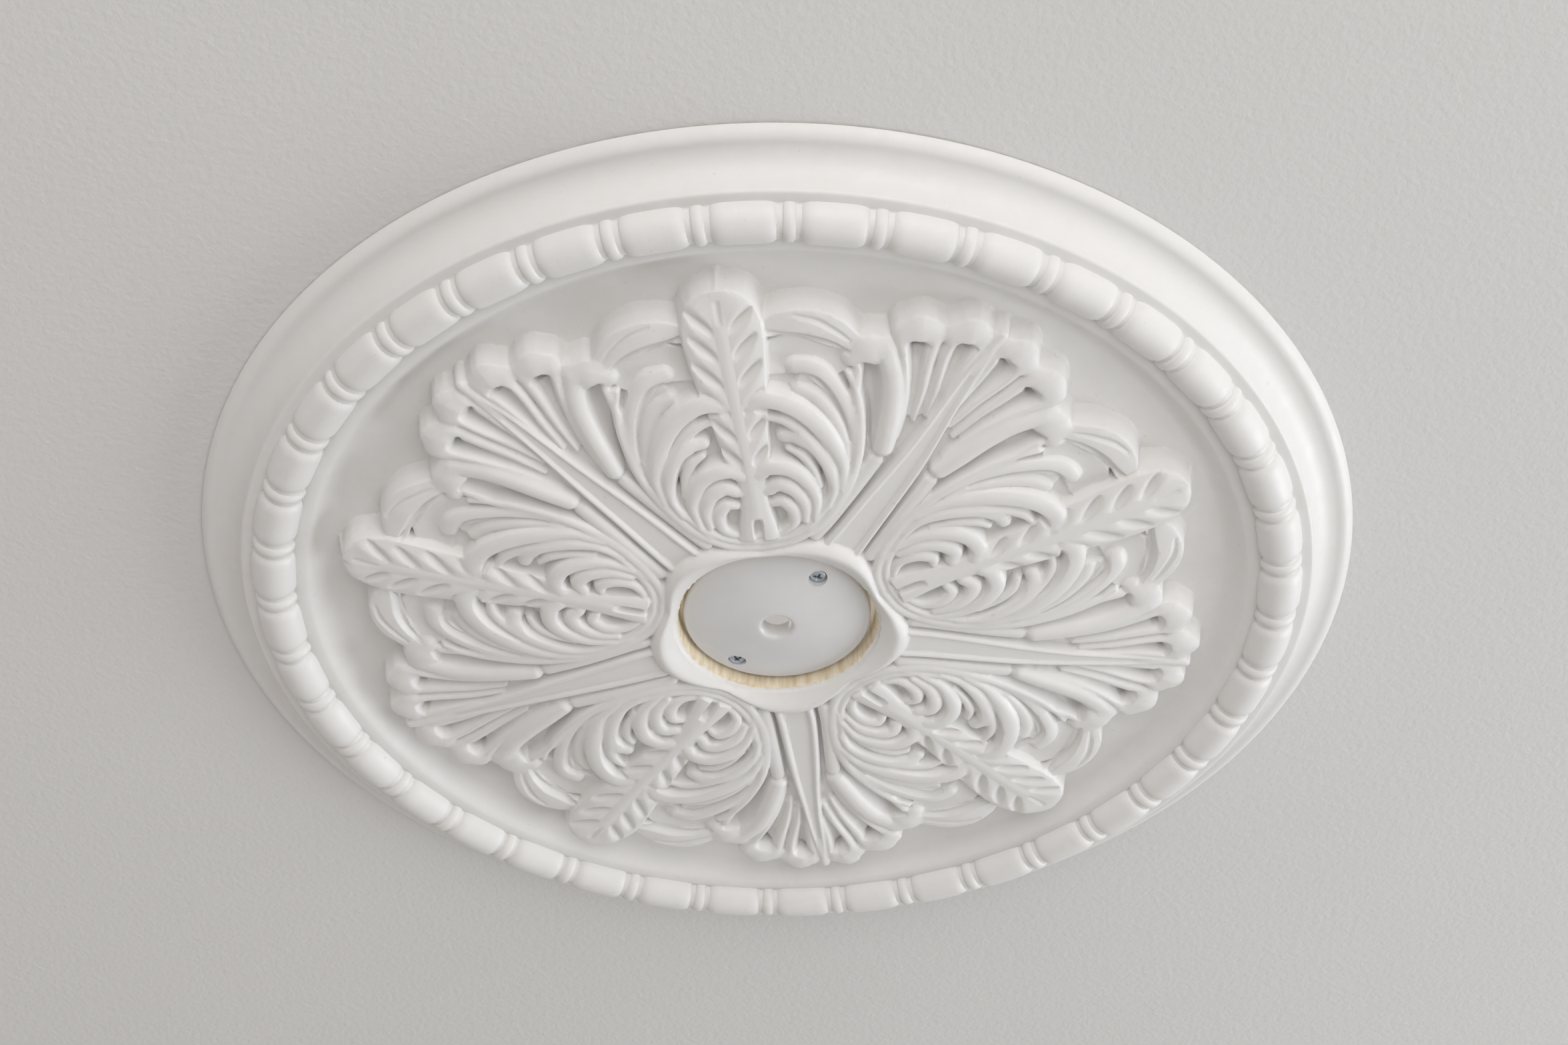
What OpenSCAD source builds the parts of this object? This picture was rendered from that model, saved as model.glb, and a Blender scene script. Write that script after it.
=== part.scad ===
// Ceiling rose: a round moulded ornament with a carved leaf pattern, and the plate that closes its hole.
// The back lies on the ceiling plane, Z = 0, and the ornament hangs down towards -Z.

/* [Rim] */
// Outer diameter of the rose
rose_d = 470; // [360:5:640]
// Height of the bead ring's seat below the ceiling
seat_h = 16.2; // [14:0.2:22]
// Width of the outer fascia with its slope
fascia_w = 4.7; // [3:0.1:8]
// Height of the outer fascia
fascia_h = 4.2; // [3:0.1:6]
// Width of the step between the outer cove and the beads
step_w = 4.6; // [2:0.1:8]
// Width of the ledge inside the bead ring
ledge_w = 4.8; // [3:0.1:8]
// Height of the dished ground below the ceiling
ground_h = 11; // [8:0.5:13]

/* [Bead ring] */
// Number of beads, and of reels between them
bead_n = 40; // [32:4:48]
// Width of a bead across the ring
bead_w = 18.3; // [14:0.1:20]
// Gap between two beads, where the reel sits
bead_gap = 6; // [5:0.5:8]
// Radius that rounds a bead's ends
bead_round = 3.5; // [2:0.5:5]
// Thickness of a reel
reel_t = 2.8; // [2:0.1:4]
// How far a reel stays below a bead's surface
reel_drop = 1; // [0.6:0.1:2.5]

/* [Carved field] */
// Height of the collar's crest below the ceiling, the lowest point of the rose
rose_h = 33; // [28:0.5:42]
// Gap between the ends of the leaves and the inner cove
field_gap = 7; // [4:0.5:12]
// Fall of the carving from the centre out to the feather tips
field_fall = 10; // [6:0.5:12]
// Depth of the carving from its upper leaves to its floor
carve_depth = 6.5; // [4:0.5:8]
// Turn of the first feather from the Y axis
field_turn = 8.4; // [0:0.1:72]
// Depth of the grooves in a feather
groove_depth = 1.6; // [0.8:0.1:2.5]

/* [Collar and hole] */
// Width of the collar from the hole out to the middle of a lobe
collar_w = 15.2; // [12:0.2:20]
// Width of the collar at the notch between two lobes
collar_notch_w = 6.5; // [5:0.5:10]
// Rise of the collar's crest beyond the lip of the hole
collar_rise = 5; // [3:0.5:8]
// Radius that rounds the collar's edge
collar_round = 5; // [3:0.5:6]

/* [Cover plate] */
// Diameter of the cover plate
plate_d = 78; // [70:1:96]
// Gap around the plate in its hole
plate_gap = 0.8; // [0.4:0.1:0.9]
// Depth of the plate's edge behind the lip of the hole
plate_set = 4.5; // [3:0.5:6]
// Bulge of the plate's middle beyond its edge
plate_bulge = 6.5; // [4:0.5:9]
// Thickness of the plate
plate_t = 2.4; // [1.6:0.2:3]
// Height of the skirt around the plate
skirt_h = 7; // [4:0.5:9]
// Diameter of the cable hole in the middle
cable_d = 12.3; // [8:0.1:16]

/* [Plate screws] */
// Spacing of the two screws
screw_spacing = 60; // [50:1:60]
// Turn of the line through the two screws, from the Y axis
screw_turn = 32; // [0:1:90]
// Diameter of a screw's head
head_d = 6.6; // [5:0.1:8]
// Height of a screw's head
head_h = 2.2; // [1.6:0.1:3]
// Diameter of a screw's shank
shank_d = 3.2; // [2.5:0.1:4]
// Gap around the shank in the plate
shank_gap = 0.4; // [0.2:0.1:0.6]
// Gap around the head in its recess
head_gap = 0.4; // [0.2:0.1:0.8]
// Gap between a screw's tip and the ceiling
tip_gap = 1.5; // [0.5:0.5:4]

/* [Hidden] */

$fn = 72;
eps = 0.01;
sectors = 5;
sector_angle = 360 / sectors;

// Rim, from the outside in. Heights are measured down from the ceiling.
quirk_w = 0.6;
rose_r = rose_d / 2;
cove_out_r = rose_r - fascia_w - quirk_w;
cove_h = seat_h - fascia_h;
step_h = seat_h + 0.8;
ring_out_r = cove_out_r - cove_h - step_w;
ring_r = ring_out_r - bead_w / 2;
ring_in_r = ring_out_r - bead_w;
ledge_in_r = ring_in_r - ledge_w;
ledge_h = seat_h + 1.3;
inner_cove_h = ledge_h - ground_h;
ground_r = ledge_in_r - inner_cove_h;

// Beads and reels
bead_angle = 360 / bead_n;
bead_l = 2 * PI * ring_r / bead_n - bead_gap;
bead_r = bead_w / 2;
reel_r = bead_r - reel_drop;
bead_axis_h = seat_h - 0.4;

// Carved field
field_r = ground_r - field_gap;
drawn_r = 176.5;
field_scale = field_r / drawn_r;
dome_r = (pow(field_r, 2) + pow(field_fall, 2)) / (2 * field_fall);
floor_r = 0.79 * field_r;

// Hole, collar and plate
hole_r = plate_d / 2 + plate_gap;
lip_h = rose_h - collar_rise;
lobe_out_r = hole_r + collar_w;
notch_r = hole_r + collar_notch_w;
notch_x = notch_r * cos(sector_angle / 2);
notch_y = notch_r * sin(sector_angle / 2);
lobe_c = (pow(lobe_out_r, 2) - pow(notch_x, 2) - pow(notch_y, 2)) / (2 * (lobe_out_r - notch_x));
lobe_r = lobe_out_r - lobe_c;
plate_edge_h = lip_h - plate_set;
skirt_end_h = plate_edge_h - skirt_h;
plate_r = plate_d / 2;
bulge_r = (pow(plate_r, 2) + pow(plate_bulge, 2)) / (2 * plate_bulge);
bulge_c = plate_edge_h + plate_bulge - bulge_r;
screw_r = screw_spacing / 2;
head_top_h = bulge_c + sqrt(pow(bulge_r, 2) - pow(screw_r + head_d / 2, 2));
head_seat_h = head_top_h - head_h;
boss_d = head_d + 2 * head_gap + 2 * plate_t;

// Depths of the carving's layers under the dome, from the leaves behind to those in front
layers = [2.4, 1.7, 1.0, 0.3];

// Leaves beside the feather's axis, which runs up the page: a centre line, its widths at the start,
// middle and end, and the number of its layer
leaf_rows = [
    // bud leaf behind the feather
    [[[12, 150], [20, 158], [32, 158], [42, 151], [46, 143]], [8, 10, 7], 0],
    // big tongue and the narrow finger beside it
    [[[46, 148], [49, 132], [51, 115], [52, 101], [52, 91]], [9, 15, 6], 1],
    [[[66, 140], [67, 129], [66, 116], [61, 104], [56, 95]], [9, 8, 5], 0],
    // broad finger next to the stem
    [[[73, 149], [76, 138], [76, 124], [72, 111], [66, 99]], [13, 12, 5], 1],
    // upper comb, from the outside in
    [[[30, 138], [37, 130], [42, 118], [44, 104], [43, 87]], [8, 7, 4], 0],
    [[[26, 126], [33, 118], [38, 107], [40, 96], [40, 86]], [8, 7, 4], 1],
    [[[8, 119], [18, 117], [27, 109], [34, 98], [38, 85]], [7, 10, 5], 3],
    [[[18, 105], [25, 99], [31, 90], [33, 80]], [6, 7, 5], 2],
    // lower comb
    [[[6, 89], [15, 87], [22, 80], [24, 70], [22, 60]], [6, 8, 4], 3],
    [[[8, 79], [14, 77], [18, 70], [18, 62], [14, 56]], [5, 7, 4], 2],
];

// Ridges that frame the feather's foot: half of a line that crosses the axis, with its widths and layer
ridge_rows = [
    [[[0, 53], [10, 54], [19, 60], [27, 68], [31, 76]], [3, 5, 3], 2],
    [[[0, 48], [14, 50], [28, 60], [40, 78], [46, 97], [44, 122]], [3, 6, 3], 1],
];

// Half-widths of the feather, from its foot to its tip, as [height on the page, half-width]
feather_outline = [[57, 7.5], [67, 6.5], [78, 4.5], [89, 9.3], [104, 10.8], [120, 12.6], [138, 13.9],
                   [152, 14.3], [162, 12.5], [170, 8], [175, 3]];
feather_top = 176.5;
feather_notch = 66;
feather_drop = 1.2;
spine_w = 4;
leaflet_feet = [88, 101, 115, 129, 143];
leaflet_rise = 11;
leaflet_groove = 1.2;

// Fingers and ribs of the leaf that stands on the stem's axis, drawn beside that axis in the same way
stem_rows = [
    [[[10, 166], [11, 152], [9, 136], [6, 118]], [10, 9, 5], 0],
    [[[5, 56], [6, 80], [7, 100], [6, 120]], [4, 5, 3], 2],
    [[[15, 62], [18, 80], [20, 96], [18, 112]], [4, 5, 3], 2],
];
stem_middle = [[[0, 172], [0, 158], [0, 140], [0, 120]], [8, 9, 5], 1];

// A point on the smooth curve through pts, at t between the points numbered i and i + 1
function knot(pts, i) = pts[max(0, min(len(pts) - 1, i))];
function curve_at(pts, i, t) =
    let (a = knot(pts, i - 1), b = knot(pts, i), c = knot(pts, i + 1), d = knot(pts, i + 2))
    0.5 * (2 * b + (c - a) * t + (2 * a - 5 * b + 4 * c - d) * t * t + (3 * b - a - 3 * c + d) * t * t * t);
function curve(pts, steps) = concat(
    [for (i = [0 : len(pts) - 2], k = [0 : steps - 1]) curve_at(pts, i, k / steps)],
    [pts[len(pts) - 1]]
);

// Width along a stroke, from three widths, at u between 0 and 1
function width_at(w, u) = w[0] * (1 - u) * (1 - 2 * u) + 4 * w[1] * u * (1 - u) + w[2] * u * (2 * u - 1);
function unit(v) = v / norm(v);
function along(line, i) = unit(line[min(i + 1, len(line) - 1)] - line[max(i - 1, 0)]);
function across(line, i) = let (d = along(line, i)) [d[1], -d[0]];

// A line that crosses the axis, from the half of it that starts there
function both_halves(pts) = concat([for (i = [len(pts) - 1 : -1 : 1]) [-pts[i][0], pts[i][1]]], pts);

// One side of a stroke, and its round end
function side(line, w, sign) = [for (i = [0 : len(line) - 1])
    line[i] + sign * across(line, i) * width_at(w, i / (len(line) - 1)) / 2];
function round_end(centre, dir, r) = [for (a = [50, 0, -50])
    centre + r * (cos(a) * dir + sin(a) * [-dir[1], dir[0]])];

// Outline of a stroke along a curved centre line
module stroke(pts, w) {
    line = curve(pts, len(pts) < 7 ? 2 : 1);
    last = len(line) - 1;
    right = side(line, w, 1);
    left = side(line, w, -1);
    polygon(concat(
        [for (i = [0 : last]) left[i]],
        round_end(line[last], along(line, last), w[2] / 2),
        [for (i = [last : -1 : 0]) right[i]],
        round_end(line[0], -along(line, 0), w[0] / 2)
    ));
}

// Everything is built with its heights upwards, then turned over to hang from the ceiling
module hung() {
    rotate([180, 0, 0]) children();
}

// A spherical dome that gives the carving its top, a depth under the collar's crest
module dome(depth) {
    translate([0, 0, rose_h - depth - dome_r]) sphere(dome_r, $fn = 256);
}

// Copies of a drawing on each sector's axis, or between two of them at a turn of 0.5
module around(turn = 0) {
    for (i = [0 : sectors - 1]) rotate(sector_angle * (i + turn)) children();
}

module both_sides() {
    children();
    mirror([1, 0]) children();
}

// A raised layer of the carving: a drawing lifted from the ground to the dome
module raised(depth) {
    intersection() {
        translate([0, 0, ground_h / 2]) linear_extrude(rose_h) scale(field_scale) children();
        dome(depth);
    }
}

// The moulded section of the rim, with its two coves, and the dished ground inside it
module rim_and_ground() {
    rotate_extrude() difference() {
        polygon([
            [hole_r, 0], [rose_r, 0], [rose_r - fascia_w, fascia_h], [cove_out_r, fascia_h],
            [cove_out_r - cove_h, step_h], [ring_out_r, step_h], [ring_out_r, seat_h], [ring_in_r, seat_h],
            [ring_in_r, ledge_h], [ledge_in_r, ledge_h], [ground_r, ground_h], [hole_r, ground_h]
        ]);
        translate([cove_out_r, seat_h]) circle(cove_h);
        translate([ground_r, ledge_h]) circle(inner_cove_h);
    }
}

// One bead, a barrel with rounded ends, along the ring
module bead() {
    rotate([90, 0, 0]) rotate_extrude() {
        translate([0, -bead_l / 2 + bead_round]) square([bead_r, bead_l - 2 * bead_round]);
        translate([0, -bead_l / 2]) square([bead_r - bead_round, bead_l]);
        for (y = [-1, 1]) translate([bead_r - bead_round, y * (bead_l / 2 - bead_round)]) circle(bead_round);
    }
}

// One reel, a thin ring with a rounded rim, between two beads
module reel() {
    rotate([90, 0, 0]) rotate_extrude() {
        translate([0, -reel_t / 2]) square([reel_r - reel_t / 2, reel_t]);
        translate([reel_r - reel_t / 2, 0]) circle(reel_t / 2);
    }
}

module bead_ring() {
    for (i = [0 : bead_n - 1]) {
        rotate(i * bead_angle) translate([0, ring_r, bead_axis_h]) rotate(90) reel();
        rotate((i + 0.5) * bead_angle) translate([0, ring_r, bead_axis_h]) rotate(90) bead();
    }
}

// The lobed collar round the hole: overlapping round-edged discs, one for each stem
module collar() {
    around(0.5) translate([0, lobe_c, 0]) rotate_extrude() {
        square([lobe_r - collar_round, rose_h]);
        square([lobe_r, rose_h - collar_round]);
        translate([lobe_r - collar_round, rose_h - collar_round]) circle(collar_round);
    }
}

// The hole, with the hollow that falls from the collar's crest to the lip
module hole_cut() {
    rotate_extrude() {
        translate([0, -eps]) square([hole_r, rose_h + 1]);
        translate([hole_r, rose_h]) circle(collar_rise);
    }
}

module feather_shape() {
    polygon(concat(
        [for (p = feather_outline) [-p[1], p[0]]],
        [[0, feather_top]],
        [for (i = [len(feather_outline) - 1 : -1 : 0]) [feather_outline[i][1], feather_outline[i][0]]],
        [[0, feather_notch]]
    ));
}

// Leaflets of a feather: its outline less the grooves that rise outwards from the spine
module leaflets() {
    difference() {
        feather_shape();
        both_sides() for (y = leaflet_feet)
            stroke([[0, y], [7, y + 0.4 * leaflet_rise], [18, y + leaflet_rise * 1.5]],
                [leaflet_groove, leaflet_groove, leaflet_groove]);
    }
}

// All the leaves of one layer
module leaves(layer) {
    around() {
        for (row = leaf_rows) if (row[2] == layer) both_sides() stroke(row[0], row[1]);
        for (row = ridge_rows) if (row[2] == layer) stroke(both_halves(row[0]), [row[1][2], row[1][1], row[1][2]]);
    }
    around(0.5) {
        for (row = stem_rows) if (row[2] == layer) both_sides() stroke(row[0], row[1]);
        if (stem_middle[2] == layer) stroke(stem_middle[0], stem_middle[1]);
    }
}

module rose() {
    color("whitesmoke") hung() rotate(field_turn) difference() {
        union() {
            rim_and_ground();
            rotate(-field_turn) bead_ring();
            intersection() {
                cylinder(r = floor_r, h = rose_h);
                dome(carve_depth);
            }
            collar();
            raised(feather_drop + groove_depth) around() feather_shape();
            raised(feather_drop) around() leaflets();
            for (i = [0 : len(layers) - 1]) raised(layers[i]) leaves(i);
        }
        hole_cut();
    }
}

// Places something at each screw: i is 0 or 1
module at_screw(i) {
    rotate(-screw_turn + 180 * i) translate([0, screw_r, 0]) children();
}

module cover_plate() {
    color("gainsboro") hung() difference() {
        intersection() {
            translate([0, 0, skirt_end_h]) cylinder(r = plate_r, h = skirt_h + 2 * plate_bulge);
            translate([0, 0, bulge_c]) sphere(bulge_r, $fn = 180);
        }
        // the hollow back leaves two bosses
        difference() {
            intersection() {
                translate([0, 0, skirt_end_h - eps]) cylinder(r = plate_r - plate_t, h = skirt_h + plate_bulge);
                translate([0, 0, bulge_c]) sphere(bulge_r - plate_t, $fn = 180);
            }
            for (i = [0, 1]) at_screw(i) cylinder(d = boss_d, h = rose_h);
        }
        cylinder(d = cable_d, h = rose_h + 1);
        for (i = [0, 1]) at_screw(i) {
            cylinder(d = shank_d + 2 * shank_gap, h = rose_h + 1);
            translate([0, 0, head_seat_h]) cylinder(d = head_d + 2 * head_gap, h = rose_h);
        }
    }
}

// A screw with a low domed head and a cross recess
module screw() {
    difference() {
        union() {
            translate([0, 0, tip_gap]) cylinder(d = shank_d, h = head_seat_h - tip_gap + head_h / 2);
            intersection() {
                translate([0, 0, head_seat_h]) cylinder(d = head_d, h = head_h);
                translate([0, 0, head_seat_h + head_h - head_d]) sphere(head_d);
            }
        }
        for (a = [0, 90]) rotate(a) translate([0, 0, head_seat_h + head_h])
            cube([0.6 * head_d, 0.16 * head_d, 0.9 * head_h], center = true);
    }
}

module plate_screw(i) {
    color("silver") hung() at_screw(i) screw();
}

rose();
cover_plate();
plate_screw(0);  // plate_screw_1
plate_screw(1);  // plate_screw_2
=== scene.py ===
import math

import bmesh
import bpy
import numpy as np
from mathutils import Matrix, Vector


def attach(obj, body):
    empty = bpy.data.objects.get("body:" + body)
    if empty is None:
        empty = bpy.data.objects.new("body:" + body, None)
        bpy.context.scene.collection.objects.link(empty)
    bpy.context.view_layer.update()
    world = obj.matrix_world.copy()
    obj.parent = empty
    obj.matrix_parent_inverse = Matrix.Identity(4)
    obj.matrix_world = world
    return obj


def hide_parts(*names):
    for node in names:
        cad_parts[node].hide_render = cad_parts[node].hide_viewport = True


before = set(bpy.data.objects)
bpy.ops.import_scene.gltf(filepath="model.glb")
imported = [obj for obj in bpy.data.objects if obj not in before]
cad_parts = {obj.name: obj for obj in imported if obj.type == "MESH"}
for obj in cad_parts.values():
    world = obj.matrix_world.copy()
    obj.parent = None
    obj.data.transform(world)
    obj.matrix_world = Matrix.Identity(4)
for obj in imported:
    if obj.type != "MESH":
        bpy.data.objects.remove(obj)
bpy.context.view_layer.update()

scene = bpy.context.scene
mm = 0.001
quick = 0      # picks the second of a pair of values

# Everything is drawn as seen from below, in mm: x to the right, y up the view, h the drop below the ceiling.
# A drawn point (x, y, h) stands at (x, -y, -h) in the frame.

print("camera and light")
view = {
    "stand": (-0.0142, -0.8396, -0.7703),       # in metres, looking up from below
    "right": (0.9997, -0.0227, 0.0027),
    "up": (-0.0176, -0.6892, 0.7243),
    "lens": 63.36,
}
cameraData = bpy.data.cameras.new("roomCamera")
cameraData.lens = view["lens"]
cameraData.sensor_width = 36
cameraData.clip_start = 0.02
camera = bpy.data.objects.new("roomCamera", cameraData)
scene.collection.objects.link(camera)
right = Vector(view["right"]).normalized()
up = (Vector(view["up"]) - right * Vector(view["up"]).dot(right)).normalized()
turn = Matrix((right, up, right.cross(up))).transposed()
camera.matrix_world = Matrix.Translation(view["stand"]) @ turn.to_4x4()
scene.camera = camera

studio = {
    "key": {"at": (2.2, 0.75, -0.75), "aim": (0, 0, -0.02), "size": 1.3, "power": 26,
            "colour": (0.905, 0.96, 1.0)},
    "fill": {"at": (0.5, -2.3, -0.85), "aim": (0, 0, 0), "size": 2.0, "power": 32,
             "colour": (1.0, 0.99, 0.985)},
    "above": {"at": (-0.8, 1.0, 2.2), "aim": (0, 0, 0), "size": 2.4, "power": 24,
              "colour": (1.0, 1.0, 1.0)},
    "air": (0.925, 0.868, 0.822),
    "airStrength": 0.55,
    "floorAt": -2.4,
}
for name in ("key", "fill", "above"):
    row = studio[name]
    lampData = bpy.data.lights.new(name + "Light", "AREA")
    lampData.size = row["size"]
    lampData.energy = row["power"]
    lampData.color = row["colour"]
    lamp = bpy.data.objects.new(name + "Light", lampData)
    lamp.location = row["at"]
    lamp.rotation_euler = (Vector(row["aim"]) - Vector(row["at"])).to_track_quat("-Z", "Y").to_euler()
    scene.collection.objects.link(lamp)
world = bpy.data.worlds.new("softRoom")
world.use_nodes = True
world.node_tree.nodes["Background"].inputs["Color"].default_value = (*studio["air"], 1)
world.node_tree.nodes["Background"].inputs["Strength"].default_value = studio["airStrength"]
scene.world = world
scene.view_settings.view_transform = "Standard"


def addNode(tree, kind, values=None, **settings):
    # a node with its settings, its plain values and its links: a socket as a value makes a link
    node = tree.nodes.new(kind)
    for key, value in settings.items():
        setattr(node, key, value)
    for key, value in (values or {}).items():
        if isinstance(value, bpy.types.NodeSocket):
            tree.links.new(value, node.inputs[key])
        else:
            node.inputs[key].default_value = value
    return node


def addMath(tree, operation, first, second=None):
    values = {0: first}
    if second is not None:
        values[1] = second
    return addNode(tree, "ShaderNodeMath", values, operation=operation).outputs[0]


def times(tree, first, second):
    return addMath(tree, "MULTIPLY", first, second)


def plus(tree, first, second):
    return addMath(tree, "ADD", first, second)


def mapRange(tree, value, low, high, toLow=0.0, toHigh=1.0):
    return addNode(tree, "ShaderNodeMapRange", {0: value, 1: low, 2: high, 3: toLow, 4: toHigh}).outputs[0]


def objectPlace(tree):
    return addNode(tree, "ShaderNodeTexCoord").outputs["Object"]


def attributeOf(tree, name):
    return addNode(tree, "ShaderNodeAttribute", attribute_name=name).outputs["Fac"]


def addBump(tree, shader, strength, distance, height):
    bump = addNode(tree, "ShaderNodeBump", {"Strength": strength, "Distance": distance, "Height": height})
    tree.links.new(bump.outputs[0], shader.inputs["Normal"])


def makeGroup(name, inputs, outputs, kind="ShaderNodeTree"):
    tree = bpy.data.node_groups.new(name, kind)
    for label, socket, value in inputs:
        made = tree.interface.new_socket(label, in_out="INPUT", socket_type=socket)
        if value is not None:
            made.default_value = value
    for label, socket in outputs:
        tree.interface.new_socket(label, in_out="OUTPUT", socket_type=socket)
    return tree, tree.nodes.new("NodeGroupInput"), tree.nodes.new("NodeGroupOutput")


def withAlpha(value):
    return (*value, 1) if isinstance(value, tuple) else value


def mixColour(tree, factor, first, second):
    values = {0: factor, 6: withAlpha(first), 7: withAlpha(second)}
    return addNode(tree, "ShaderNodeMix", values, data_type="RGBA").outputs[2]


def noiseOf(tree, where, scale, detail):
    values = {"Vector": where, "Scale": scale, "Detail": detail}
    return addNode(tree, "ShaderNodeTexNoise", values).outputs["Fac"]


def makeMaterial(name, settings):
    material = bpy.data.materials.new(name)
    material.use_nodes = True
    tree = material.node_tree
    shader = tree.nodes["Principled BSDF"]
    for key, value in settings.items():
        shader.inputs[key].default_value = value
    return material, tree, shader


def makeObject(name, points, faces, material):
    mesh = bpy.data.meshes.new(name)
    mesh.from_pydata(points, [], faces)
    mesh.polygons.foreach_set("use_smooth", [True] * len(mesh.polygons))
    mesh.materials.append(material)
    made = bpy.data.objects.new(name, mesh)
    scene.collection.objects.link(made)
    return made


def spotsOf(mesh):
    # where the mesh's vertices are, in metres
    spots = np.zeros(len(mesh.vertices) * 3)
    mesh.vertices.foreach_get("co", spots)
    return spots.reshape(-1, 3)


def addAttribute(mesh, name, values):
    made = mesh.attributes.new(name, "FLOAT", "POINT")
    made.data.foreach_set("value", np.asarray(values, np.float32))


def plainMesh(source, name):
    # the object's mesh with its modifiers applied, as a mesh of its own
    bpy.context.view_layer.update()
    mesh = bpy.data.meshes.new_from_object(source.evaluated_get(bpy.context.evaluated_depsgraph_get()))
    mesh.name = name
    return mesh


print("finishes")
# grain: the fine unevenness of a painted or moulded face, as a height, and soft blotches as a mask
grainTree, grainIn, grainOut = makeGroup(
    "surfaceGrain",
    [("Scale", "NodeSocketFloat", 400.0), ("Coarse", "NodeSocketFloat", 60.0),
     ("Share", "NodeSocketFloat", 0.5)],
    [("Height", "NodeSocketFloat"), ("Blotch", "NodeSocketFloat")])
where = objectPlace(grainTree)
fine = noiseOf(grainTree, where, grainIn.outputs["Scale"], 4)
broad = noiseOf(grainTree, where, grainIn.outputs["Coarse"], 3)
broadPart = times(grainTree, broad, grainIn.outputs["Share"])
grainTree.links.new(plus(grainTree, fine, broadPart), grainOut.inputs["Height"])
grainTree.links.new(broad, grainOut.inputs["Blotch"])

# dust and painted shade: both darken the colour where the surface lies deeper than what is around it
dustShadeTree, dustShadeIn, dustShadeOut = makeGroup(
    "dustAndShadeInHollows",
    [("Base", "NodeSocketColor", None), ("DustAndShade", "NodeSocketColor", None), ("Cavity", "NodeSocketFloat", 0.0),
     ("Amount", "NodeSocketFloat", 0.5), ("Scale", "NodeSocketFloat", 90.0)],
    [("Colour", "NodeSocketColor")])
patchy = noiseOf(dustShadeTree, objectPlace(dustShadeTree), dustShadeIn.outputs["Scale"], 3)
deep = mapRange(dustShadeTree, dustShadeIn.outputs["Cavity"], 0.3, -2.2)
patches = mapRange(dustShadeTree, patchy, 0.25, 0.7, 0.55)
mask = times(dustShadeTree, times(dustShadeTree, deep, patches), dustShadeIn.outputs["Amount"])
dustShadeTree.links.new(mixColour(dustShadeTree, mask, dustShadeIn.outputs["Base"], dustShadeIn.outputs["DustAndShade"]),
                   dustShadeOut.inputs["Colour"])


def placeGroup(tree, group, *given):
    # a group in a material, with its values and links taken from one dictionary or more
    values = {key: withAlpha(value) for part in given for key, value in part.items()}
    return addNode(tree, "ShaderNodeGroup", values, node_tree=group)


def blotchDustAndShade(tree, finish, blotch):
    # two tones of one finish in soft blotches, with dust and painted shade where the cavity attribute is low
    base = mixColour(tree, blotch, finish["colour"], finish["blotch"])
    links = {"Base": base, "DustAndShade": finish["dustAndShade"], "Cavity": attributeOf(tree, "cavity")}
    return placeGroup(tree, dustShadeTree, links, finish["dustAndShading"]).outputs["Colour"]


paint = {
    "colour": (0.845, 0.84, 0.835),
    "blotch": (0.83, 0.822, 0.81),
    # darkens the paint's hollows as dust and painted shade, and tints the specks
    "dustAndShade": (0.62, 0.59, 0.56),
    "foam": (0.72, 0.60, 0.42),
    "foamPale": (0.88, 0.80, 0.64),
    "grain": {"Scale": 900.0, "Coarse": 130.0, "Share": 0.9},
    "dustAndShading": {"Amount": 0.2, "Scale": 90.0},
    "roughness": (0.38, 0.5),
    "foamRoughness": 0.45,  # added to the paint's
    "bump": 0.12,
    "speckScale": 420.0,
    "speckShare": 0.35,     # how dark the specks are
    "speckRise": 1.5,
    "streakFlat": 0.2,      # the foam's streaks run across the cut
    "streakScale": 420.0,
    "pitScale": 700.0,
    "pitDepth": 9.0,
    "fillerScale": 240.0,
    "fillerDepth": 6.0,
    "edgeScale": 330.0,     # the paint's broken edge at the foam
    "edgeReach": 0.9,
}
roseMaterial, tree, shader = makeMaterial("rosePaint", {"Specular IOR Level": 0.42, "IOR": 1.46})
foam = attributeOf(tree, "foam")
filler = attributeOf(tree, "filler")
where = objectPlace(tree)
grain = placeGroup(tree, grainTree, paint["grain"])
blotch = mapRange(tree, grain.outputs["Blotch"], 0.35, 0.7)
dusted = blotchDustAndShade(tree, paint, blotch)
speck = mapRange(tree, noiseOf(tree, where, paint["speckScale"], 2), 0.735, 0.76)
specked = mixColour(tree, times(tree, speck, paint["speckShare"]), dusted, paint["dustAndShade"])
parts = addNode(tree, "ShaderNodeSeparateXYZ", {0: where})
drawnOut = addNode(tree, "ShaderNodeCombineXYZ", {
    0: parts.outputs[0], 1: parts.outputs[1],
    2: times(tree, parts.outputs[2], paint["streakFlat"])}).outputs[0]
streak = mapRange(tree, noiseOf(tree, drawnOut, paint["streakScale"], 4), 0.35, 0.62)
foamTone = mixColour(tree, streak, paint["foam"], paint["foamPale"])
broken = addMath(tree, "SUBTRACT", noiseOf(tree, where, paint["edgeScale"], 3), 0.5)
foamEdge = mapRange(tree, plus(tree, foam, times(tree, broken, paint["edgeReach"])), 0.44, 0.54)
tree.links.new(mixColour(tree, foamEdge, specked, foamTone), shader.inputs["Base Color"])
roughHere = mapRange(tree, grain.outputs["Blotch"], 0.3, 0.7, *paint["roughness"])
roughFoam = times(tree, foamEdge, paint["foamRoughness"])
tree.links.new(plus(tree, roughHere, roughFoam), shader.inputs["Roughness"])
pits = noiseOf(tree, drawnOut, paint["pitScale"], 4)
foamPits = times(tree, times(tree, pits, foamEdge), paint["pitDepth"])
lumps = noiseOf(tree, where, paint["fillerScale"], 4)
fillerRough = times(tree, times(tree, lumps, filler), paint["fillerDepth"])
height = plus(tree, plus(tree, grain.outputs["Height"], foamPits), fillerRough)
height = addMath(tree, "SUBTRACT", height, times(tree, speck, paint["speckRise"]))
addBump(tree, shader, paint["bump"], 0.0004, height)

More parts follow.
